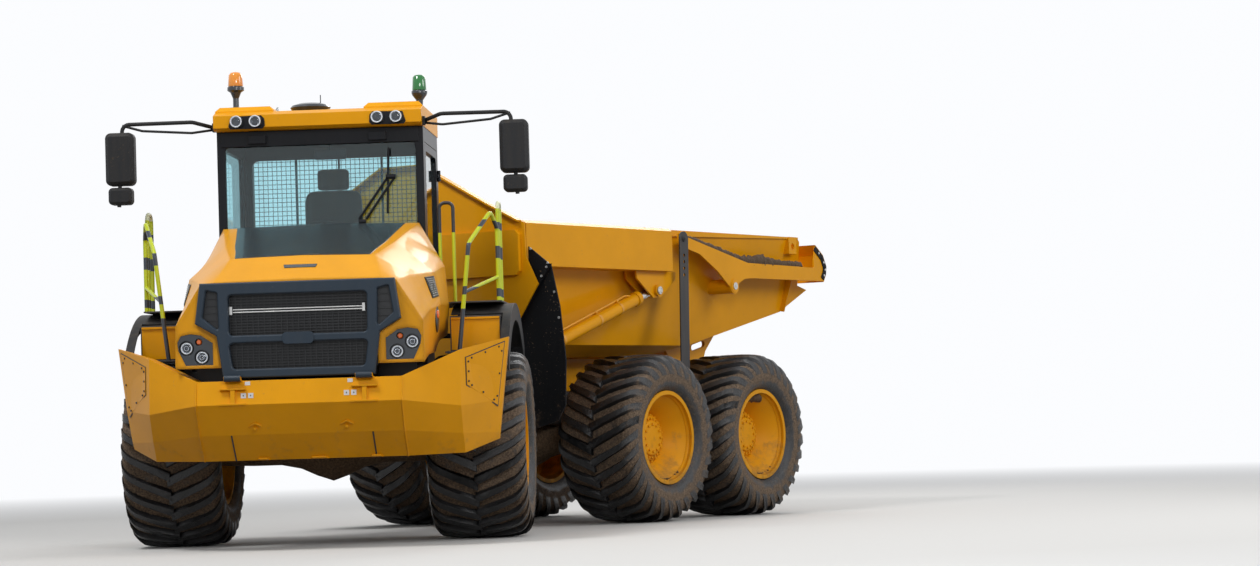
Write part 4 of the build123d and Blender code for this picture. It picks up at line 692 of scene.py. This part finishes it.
bowls, glasses, turn_lens, shape = (bmesh.new() for _ in range(4))
for sign in (1, -1):
    for y, z in headlamps:
        round_lamp(bowls, glasses, (headlamp_face, sign * y, z), headlamp_radius)
        round_lamp(bowls, glasses, (headlamp_face + 0.0035, sign * y, z), headlamp_radius * 0.42)
    rod(turn_lens, (1.719, sign * turn_y, turn_z), (1.729, sign * turn_y, turn_z), 0.021, 24, 0.014)
    plate(shape, [(0.4405, sign * y, z) for y, z in recess], (0.006, 0, 0))
finish_piece("headlamp_bowls", bowls, "hood", chrome)
finish_piece("headlamp_lenses", glasses, "hood", clear)
finish_piece("headlamp_turn_lenses", turn_lens, "hood", orange_lens)
finish_piece("work_lamp_recesses", shape, "front_unit", black_paint)
bowls, glasses = bmesh.new(), bmesh.new()
for y in work_lamps:
    round_lamp(bowls, glasses, (0.5095, y, 3.394), work_lamp_radius)
finish_piece("work_lamp_bowls", bowls, "front_unit", chrome)
finish_piece("work_lamp_lenses", glasses, "front_unit", clear)

# Beacons: an amber dome on the right of the roof and a green one on the left, each over its dark
# base, and a short whip on the aerial's dome.
beacon_foot, whip_foot, whip_top = 3.5303, (-0.02, -0.03, 3.57), (-0.02, -0.03, 3.64)


def spin_up(shape, points, place, steps=32):
    """Turns a (radius, height) outline once round an upright axle."""
    x, y, z = place
    verts = [shape.verts.new((x + r, y, z + h)) for r, h in points]
    edges = [shape.edges.new(pair) for pair in zip(verts, verts[1:])]
    bmesh.ops.spin(shape, geom=verts + edges, cent=place, axis=(0, 0, 1), angle=2 * pi,
                   steps=steps, use_merge=True)
    bmesh.ops.remove_doubles(shape, verts=shape.verts, dist=1e-5)


for name, x, y, colour, rough, points in (
    ("amber", 0.1, -0.704, (0.80, 0.27, 0.005, 1), 0.12,
     ((0.0600, 0.190), (0.0612, 0.194), (0.0552, 0.281), (0.041, 0.3015), (0.0, 0.311))),
    ("green", -0.6, 0.72, (0.003, 0.17, 0.025, 1), 0.15,
     ((0.0580, 0.182), (0.0592, 0.186), (0.0532, 0.291), (0.039, 0.3065), (0.0, 0.3138))),
):
    tint = plain(f"{name}_dome", colour, rough, Coat_Weight=0.6)
    shape = bmesh.new()
    spin_up(shape, points, (x, y, beacon_foot))
    finish_piece(f"{name}_beacon_dome", shape, "front_unit", tint, angle=60)
shape = bmesh.new()
rod(shape, whip_foot, whip_top, 0.004, 8)
plate(shape, [(-0.1, -0.40, 3.4853), (0.12, -0.40, 3.4853), (-0.1, -0.40, 3.56)], (0, 0.012, 0))
finish_piece("aerial_whip", shape, "front_unit", housing)

# Windscreen: two wipers parked on the glass, the black band above it with the visor's two
# brackets, and the mirror that hangs inside.
blade_foot_z, blade_top_z, boss_z = 2.63, 3.16, 2.57
shape = bmesh.new()
slab(shape, (0.301, 0.312), (-0.80, 0.80), (3.205, 3.33))
for y in (-0.5, 0.47):
    slab(shape, (0.312, 0.36), (y - 0.07, y + 0.07), (3.225, 3.29))
for foot, elbow in (((0.322, 0.30, 2.59), (0.33, 0.55, 2.93)),
                    ((0.322, 0.36, 2.59), (0.33, 0.60, 2.92))):
    rod(shape, foot, elbow, 0.011, 8)
rod(shape, (0.318, 0.535, blade_foot_z), (0.318, 0.555, blade_top_z), 0.010, 8)
rod(shape, (0.314, 0.535, blade_foot_z), (0.314, 0.555, blade_top_z), 0.004, 6)
rod(shape, (0.33, 0.53, 2.925), (0.33, 0.61, 2.925), 0.02, 12)
rod(shape, (0.322, 0.30, boss_z), (0.322, 0.36, boss_z), 0.02, 12)
edges = [e for e in shape.edges if e.calc_length() > 0.2 and e.calc_face_angle(0) > 1.2]
bmesh.ops.bevel(shape, geom=edges, offset=0.003, segments=1, profile=0.5, affect="EDGES",
                material=-1)
finish_piece("wipers_and_visor", shape, "front_unit", black_paint)
shape = bmesh.new()
slab(shape, (0.185, 0.21), (-0.06, 0.20), (3.09, 3.18))
bmesh.ops.bevel(shape, geom=shape.edges[:], offset=0.012, segments=2, profile=0.5,
                affect="EDGES", material=-1)
rod(shape, (0.21, 0.07, 3.17), (0.262, 0.07, 3.23), 0.008, 8)
finish_piece("cab_mirror", shape, "front_unit", black_paint)

# Rear guard: welded wire mesh, about 38 mm square, in the frame outside the rear window. The
# upright wires lie in front of the level ones and are welded where they cross.
wire_radius, guard_half, guard_low, guard_high = 0.0025, 0.72, 2.49, 3.17
shape = bmesh.new()
for k in range(38):
    y = -guard_half + 2 * guard_half * k / 37
    rod(shape, (-0.829, y, 2.476), (-0.829, y, 3.184), wire_radius, 4)
for k in range(19):
    z = guard_low + (guard_high - guard_low) * k / 18
    rod(shape, (-0.833, -0.724, z), (-0.833, 0.724, z), wire_radius, 4)
finish_piece("rear_guard_mesh", shape, "front_unit", mesh_black)

# Mirrors: a large silvered glass and a small wide-angle one under it, let into the back of each
# black head.
mirror_glass = plain("mirror_glass", (0.86, 0.88, 0.9, 1), 0.03, Metallic=1)
shape = bmesh.new()
for sign in (1, -1):
    for x, y0, y1, z0, z1 in ((0.429, 1.50, 1.666, 2.945, 3.30), (0.433, 1.52, 1.65, 2.78, 2.872)):
        corners = ((y0, z0), (y1, z0), (y1, z1), (y0, z1))
        plate(shape, [(x, sign * y, z) for y, z in corners], (-0.002, 0, 0))
finish_piece("mirror_glass", shape, "front_unit", mirror_glass)

# Bumper: a folded plate nose and two swept wings, all yellow. Welded seams stand proud between
# them. The nose carries the hood's hinge brackets, square white markers, tow eye lips and tabs.
nose_line = ((1.800, 1.297), (1.850, 1.115), (1.700, 0.886), (1.500, 0.691))
seam_y, hinge_y, tow_y = 0.782, 0.5, 0.35
cheek = ((1.818, 1.232), (1.838, 1.122), (1.862, 1.122), (1.848, 1.232))
white_plastic = plain("white_plastic", (0.75, 0.76, 0.78, 1), 0.35)
# The black pieces gathered below are painted shade: in the gap round each wing cover, on each white marker and
# along the nose's lower face.
shape, marks, painted_gap_shade, covers = (bmesh.new() for _ in range(4))
for sign in (1, -1):
    bent(shape, [(x + 0.002, sign * seam_y, z) for x, z in nose_line], 0.0065, 8)
    y = sign * hinge_y
    plate(shape, [(x, y - 0.018, z) for x, z in cheek], (0, 0.036, 0))
    slab(shape, (1.812, 1.852), (y - 0.098, y + 0.098), (1.228, 1.239))
    slab(shape, (1.836, 1.864), (y - 0.1, y + 0.1), (1.112, 1.126))
    rod(covers, (1.8402, sign * 0.562, 1.315), (1.8402, sign * 0.438, 1.315), 0.0245, 20)
    for a in (sign * 0.364, sign * 0.419):
        slab(marks, (1.828, 1.8385), (a - 0.02, a + 0.02), (1.164, 1.203))
        # A black dot on each marker is painted shade.
        rod(painted_gap_shade, (1.838, a, 1.1835), (1.8405, a, 1.1835), 0.005, 8)
    slab(marks, (1.803, 1.811), (sign * 0.39 - 0.02, sign * 0.39 + 0.02), (1.262, 1.29))
    y = sign * tow_y
    bent(shape, [(1.764 - 0.02 * abs(k) / 3, y + 0.016 * k, 0.972 - 0.0075 * abs(k))
                 for k in range(-3, 4)], 0.009, 6)
    rod(shape, (1.73, y, 0.93), (1.76, y, 0.93), 0.012, 12)
    # A black line down the nose's lower face is painted shade.
    bent(painted_gap_shade, [(1.7005, sign * 0.54, 0.883), (1.5015, sign * 0.54, 0.6895)], 0.006, 6)
for y, half in ((-0.33, 0.05), (0.1, 0.075), (0.54, 0.05)):
    plate(shape, [(1.503, y - half, 0.689), (1.503, y + half, 0.689),
                  (1.535, y + half * 0.7, 0.697), (1.535, y - half * 0.7, 0.697)],
          (-0.006, 0, 0.014))
finish_piece("bumper_brackets", shape, "front_unit", coat)
finish_piece("bumper_markers", marks, "front_unit", white_plastic)
grey = finishes["grille_grey"]
finish_piece("hood_hinge_covers", covers, "hood", grey)

# Wing covers: a plate with twelve bolts is let into the outer face of each wing of the bumper.
# A black sheet round it is painted shade in the gap.
wing_top = (Vector((1.490, 1.198, 1.491)), Vector((1.000, 1.533, 1.590)))
wing_low = (Vector((1.526, 1.198, 1.062)), Vector((1.010, 1.474, 1.100)))
cover_corners = tuple(Vector(c) for c in ((0.1, 0.16), (0.93, 0.05), (0.9, 1.1), (0.12, 0.66)))
gap_share, bolt_share, lean_x, lean_y = 0.955, 0.9, 0.56, 0.83


def on_wing(t, s, sign, out=0.0):
    """A point of the wing's outer face: t runs outward along it and s runs down."""
    p = wing_top[0].lerp(wing_top[1], t).lerp(wing_low[0].lerp(wing_low[1], t), s)
    return Vector((p.x + out * lean_x, sign * (p.y + out * lean_y), p.z))


shape, bolts = bmesh.new(), bmesh.new()
middle = sum(cover_corners, Vector((0, 0))) / 4
inset = [middle + (c - middle) * gap_share for c in cover_corners]
for sign in (1, -1):
    outward = Vector((lean_x, lean_y * sign, 0))
    # A black sheet just larger than the cover is painted shade in the gap round it.
    plate(painted_gap_shade, [on_wing(t, s, sign, -0.001) for t, s in cover_corners], outward * 0.0035)
    plate(shape, [on_wing(t, s, sign, 0.001) for t, s in inset], outward * 0.004)
    for a, b in zip(inset, inset[1:] + inset[:1]):
        for k in (0.1, 0.5, 0.9):
            t, s = middle + (a.lerp(b, k) - middle) * bolt_share
            rod(bolts, on_wing(t, s, sign, 0.004), on_wing(t, s, sign, 0.010), 0.008, 6)
finish_piece("wing_cover_plates", shape, "front_unit", coat)
finish_piece("wing_cover_bolts", bolts, "front_unit", dark_steel)
finish_piece("bumper_painted_gap_shade", painted_gap_shade, "front_unit", mesh_black)

# Decks: open tread plate with raised studs, and a light yellow riser with its nosing between the
# two levels on each side.
stud_pitch, stud_x, stud_y, stud_z = 0.029, 0.585, 1.055, 1.4925
studs, risers = bmesh.new(), bmesh.new()
for sign in (1, -1):
    for i in range(14):
        for j in range(13):
            spot = Matrix.Translation((stud_x + stud_pitch * i, sign * (stud_y + stud_pitch * j),
                                       stud_z))
            bmesh.ops.create_cone(studs, cap_ends=True, segments=6, radius1=0.008, radius2=0.005,
                                  depth=0.005, matrix=spot)
    across = sorted((sign * 1.045, sign * 1.43))
    slab(risers, (0.5605, 0.5645), across, (1.51, 1.765))
    slab(risers, (0.5645, 0.575), across, (1.75, 1.768))
finish_piece("deck_studs", studs, "front_unit", finishes["deck_steel"])
finish_piece("deck_risers", risers, "front_unit", coat)

# Mud flaps: sheets of black rubber behind the cab. Each is bolted under a flat bar along its inner
# edge, and again round its outer corner.
shape = bmesh.new()
for sign in (1, -1):
    for k in range(12):
        y, z = 0.90 + 0.60 * k / 11, 1.42 + 0.815 * k / 11
        rod(shape, (-0.8, sign * y, z), (-0.788, sign * y, z), 0.011, 6)
    for y, z in ((1.325, 2.40), (1.50, 2.27), (1.56, 2.02), (1.60, 1.80)):
        rod(shape, (-0.818, sign * y, z), (-0.81, sign * y, z), 0.011, 6)
finish_piece("flap_bolts", shape, "bin", silver, in_rear)

# Seat: three foam pads in dark cloth on a bellows pedestal. The cushion and the back have sewn
# channels, and the headrest stands on two steel stems.
cloth = muddy("ribbed_cloth", (0.03, 0.031, 0.034, 1), 0.9, dust=0.3, mud=0, level=0, spatter=0,
              soft_edge=0, Sheen_Weight=0.3)


def pad(name, low, high, across, along, channels):
    """A crowned pad that fills a box: its face looks along one axis, and channels cross another."""
    shape = bmesh.new()
    bmesh.ops.create_cube(shape, size=2)
    bmesh.ops.subdivide_edges(shape, edges=shape.edges[:], cuts=15, use_grid_fill=True)
    middle, half = (Vector(low) + Vector(high)) / 2, (Vector(high) - Vector(low)) / 2
    for v in shape.verts:
        p = v.co / sum(abs(c) ** 8 for c in v.co) ** 0.125
        p[across] *= 1 - 0.35 * max(abs(c) for i, c in enumerate(v.co) if i != across) ** 4
        for c in channels:
            p[across] *= 1 - 0.13 * max(0, 1 - abs(v.co[along] - c) / 0.1)
        v.co = middle + Vector(p[i] * half[i] for i in range(3))
    made = finish_piece(name, shape, "front_unit", cloth, angle=60)
    return made


cushion = pad("seat_cushion", (-0.43, -0.24, 2.12), (0.06, 0.24, 2.26), 2, 1, (-0.62, 0.62))
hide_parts("seat")
pad("seat_back", (-0.52, -0.235, 2.235), (-0.39, 0.235, 2.885), 0, 2, (-0.45, -0.1, 0.25))
pad("seat_headrest", (-0.505, -0.13, 2.89), (-0.41, 0.13, 3.06), 0, 2, ())
shape = bmesh.new()
for k in range(7):
    half, z = 0.15 - 0.012 * (k % 2), 1.8 + 0.045 * k
    slab(shape, (-0.18 - half, -0.18 + half), (-half, half), (z, z + 0.0445))
slab(shape, (-0.40, 0.02), (-0.2, 0.2), (2.105, 2.125))
for y in (-0.06, 0.06):
    rod(shape, (-0.46, y, 2.86), (-0.46, y, 2.92), 0.008, 8)
finish_piece("seat_pedestal", shape, "front_unit", housing)

# Tipping cylinders: each has a hard pipe along its barrel under three clamp bands, a bolted gland
# ring, and a capped pin where the rod hangs in its bracket.
base, pin, cylinder_y = Vector((-0.930, 0, 1.459)), Vector((-2.918, 0, 2.085)), 1.15
reach = (pin - base).length
run = (pin - base) / reach
above = Vector((run.z, 0, -run.x))
cap_y, cap_depth, gland_t, gland_radius = 1.2455, 0.01, reach - 0.235, 0.053
pipe_route = ((0.13, 0.05, 0), (0.16, 0.078, 0), (1.66, 0.078, 0), (1.72, 0.058, 0.01))


def along(sign, t, up=0.0, out=0.0):
    """A point beside the axis of one side's cylinder, t metres from its foot."""
    return base + run * t + above * up + Vector((0, sign * (cylinder_y + out), 0))


pipes, bands, gland, caps = (bmesh.new() for _ in range(4))
for sign in (1, -1):
    bent(pipes, [along(sign, *step) for step in pipe_route], 0.009, 8)
    for t in (0.55, 1.15, 1.5):
        for up, radius, sides in ((0, 0.060, 24), (0.074, 0.016, 8)):
            rod(bands, along(sign, t, up), along(sign, t + 0.03, up), radius, sides)
    for i in range(8):
        a = 2 * pi * i / 8
        spot = along(sign, gland_t, gland_radius * cos(a), gland_radius * sin(a))
        rod(gland, spot, spot + run * 0.012, 0.007, 6)
    face = Vector((0, sign * cap_depth, 0))
    hub = pin + Vector((0, sign * cap_y, 0))
    rod(caps, hub, hub + face, 0.036, 24)
    for i in range(4):
        a = pi / 4 + pi / 2 * i
        spot = hub + Vector((0.024 * cos(a), 0, 0.024 * sin(a))) + face
        rod(caps, spot, spot + face * 0.6, 0.006, 6)
barrel_paint = finishes["cylinder_paint"]
for name, shape, body, slot, finish in (
    ("tipping_pipes", pipes, "tip_barrels", "cylinder_paint", barrel_paint),
    ("tipping_pipe_bands", bands, "tip_barrels", "cylinder_paint", barrel_paint),
    ("tipping_gland_bolts", gland, "tip_barrels", "cylinder_paint", silver),
    ("tipping_pin_caps", caps, "bin", "rod_chrome", silver),
):
    finish_piece(name, shape, body, finish, in_rear)

# Tailgate: a washer plate and a pin with its locking bolt at each pivot, and a black rubber strip
# bolted down the rear edge of each cheek. Mud has dried on the ledge that runs along the arm.
gate_y, cheek_y, gate_axis = 1.284, 1.2805, Vector((-4.144, 0, 2.145))
edge_line = ((-5.650, 2.564), (-5.785, 2.473), (-5.847, 2.368), (-5.836, 2.296), (-5.790, 2.231))
strip_width, strip_thickness, heap_count = 0.055, 0.008, 70
ledge_x, ledge_length, ledge_z, knee_z, ledge_y = -3.45, 1.95, 2.5645, 2.369, 1.236
discs, strips, heads, heap, ends = (bmesh.new() for _ in range(5))
for sign in (1, -1):
    hub, out = gate_axis + Vector((0, sign * gate_y, 0)), Vector((0, sign, 0))
    rod(discs, hub, hub + out * 0.006, 0.06, 28)
    rod(heads, hub + out * 0.006, hub + out * 0.014, 0.034, 24)
    rod(heads, hub + out * 0.014, hub + out * 0.019, 0.012, 6)
    for (xa, za), (xb, zb) in zip(edge_line, edge_line[1:]):
        inward = Vector((zb - za, 0, xa - xb)).normalized() * -strip_width
        a, b = Vector((xa, sign * cheek_y, za)), Vector((xb, sign * cheek_y, zb))
        plate(strips, [a, b, b + inward, a + inward], out * strip_thickness)
        spot = (a + b) / 2 + inward * 0.5 + out * strip_thickness
        rod(heads, spot, spot + out * 0.008, 0.012, 6)
    for i in range(heap_count):
        t = i / (heap_count - 1)
        x = ledge_x - ledge_length * t
        ledge = ledge_z - (ledge_z - knee_z) * min((-3.37 - x) / 1.026, 1)
        ledge -= 0.017 * max(0, (-4.396 - x) / 1.244)
        wide = 0.55 + 0.45 * noise.noise(Vector((i * 0.37, sign, 2)))
        lift = 0.016 + 0.02 * wide + 0.055 * max(0, 1 - abs(t - 0.62) / 0.2) * wide
        y = ledge_y + 0.006 * noise.noise(Vector((i, sign, 7)))
        clod(heap, (x, sign * y, ledge + lift * 0.35), 0.028 + lift * 0.35, 0.9 + lift * 8,
             i * 1.3 + sign)
    for x, y, z, size in ((-3.260, 1.315, 2.560, 0.016), (-3.220, 1.3175, 1.270, 0.018)):
        spot = Vector((x, sign * y, z))
        rod(ends, spot, spot + out * 0.004, size, 6)
rubber_strip = finishes["flap_rubber"]
finish_piece("gate_pivot_washers", discs, "tailgate", coat, in_rear)
finish_piece("gate_rubber_strips", strips, "tailgate", rubber_strip, in_rear)
finish_piece("gate_pins_and_bolts", heads, "tailgate", silver, in_rear)
finish_piece("strap_end_bolts", ends, "tailgate_straps", dark_steel, in_rear)
finish_piece("mud_on_ledges", heap, "tailgate", soil_heap, in_rear, 60)
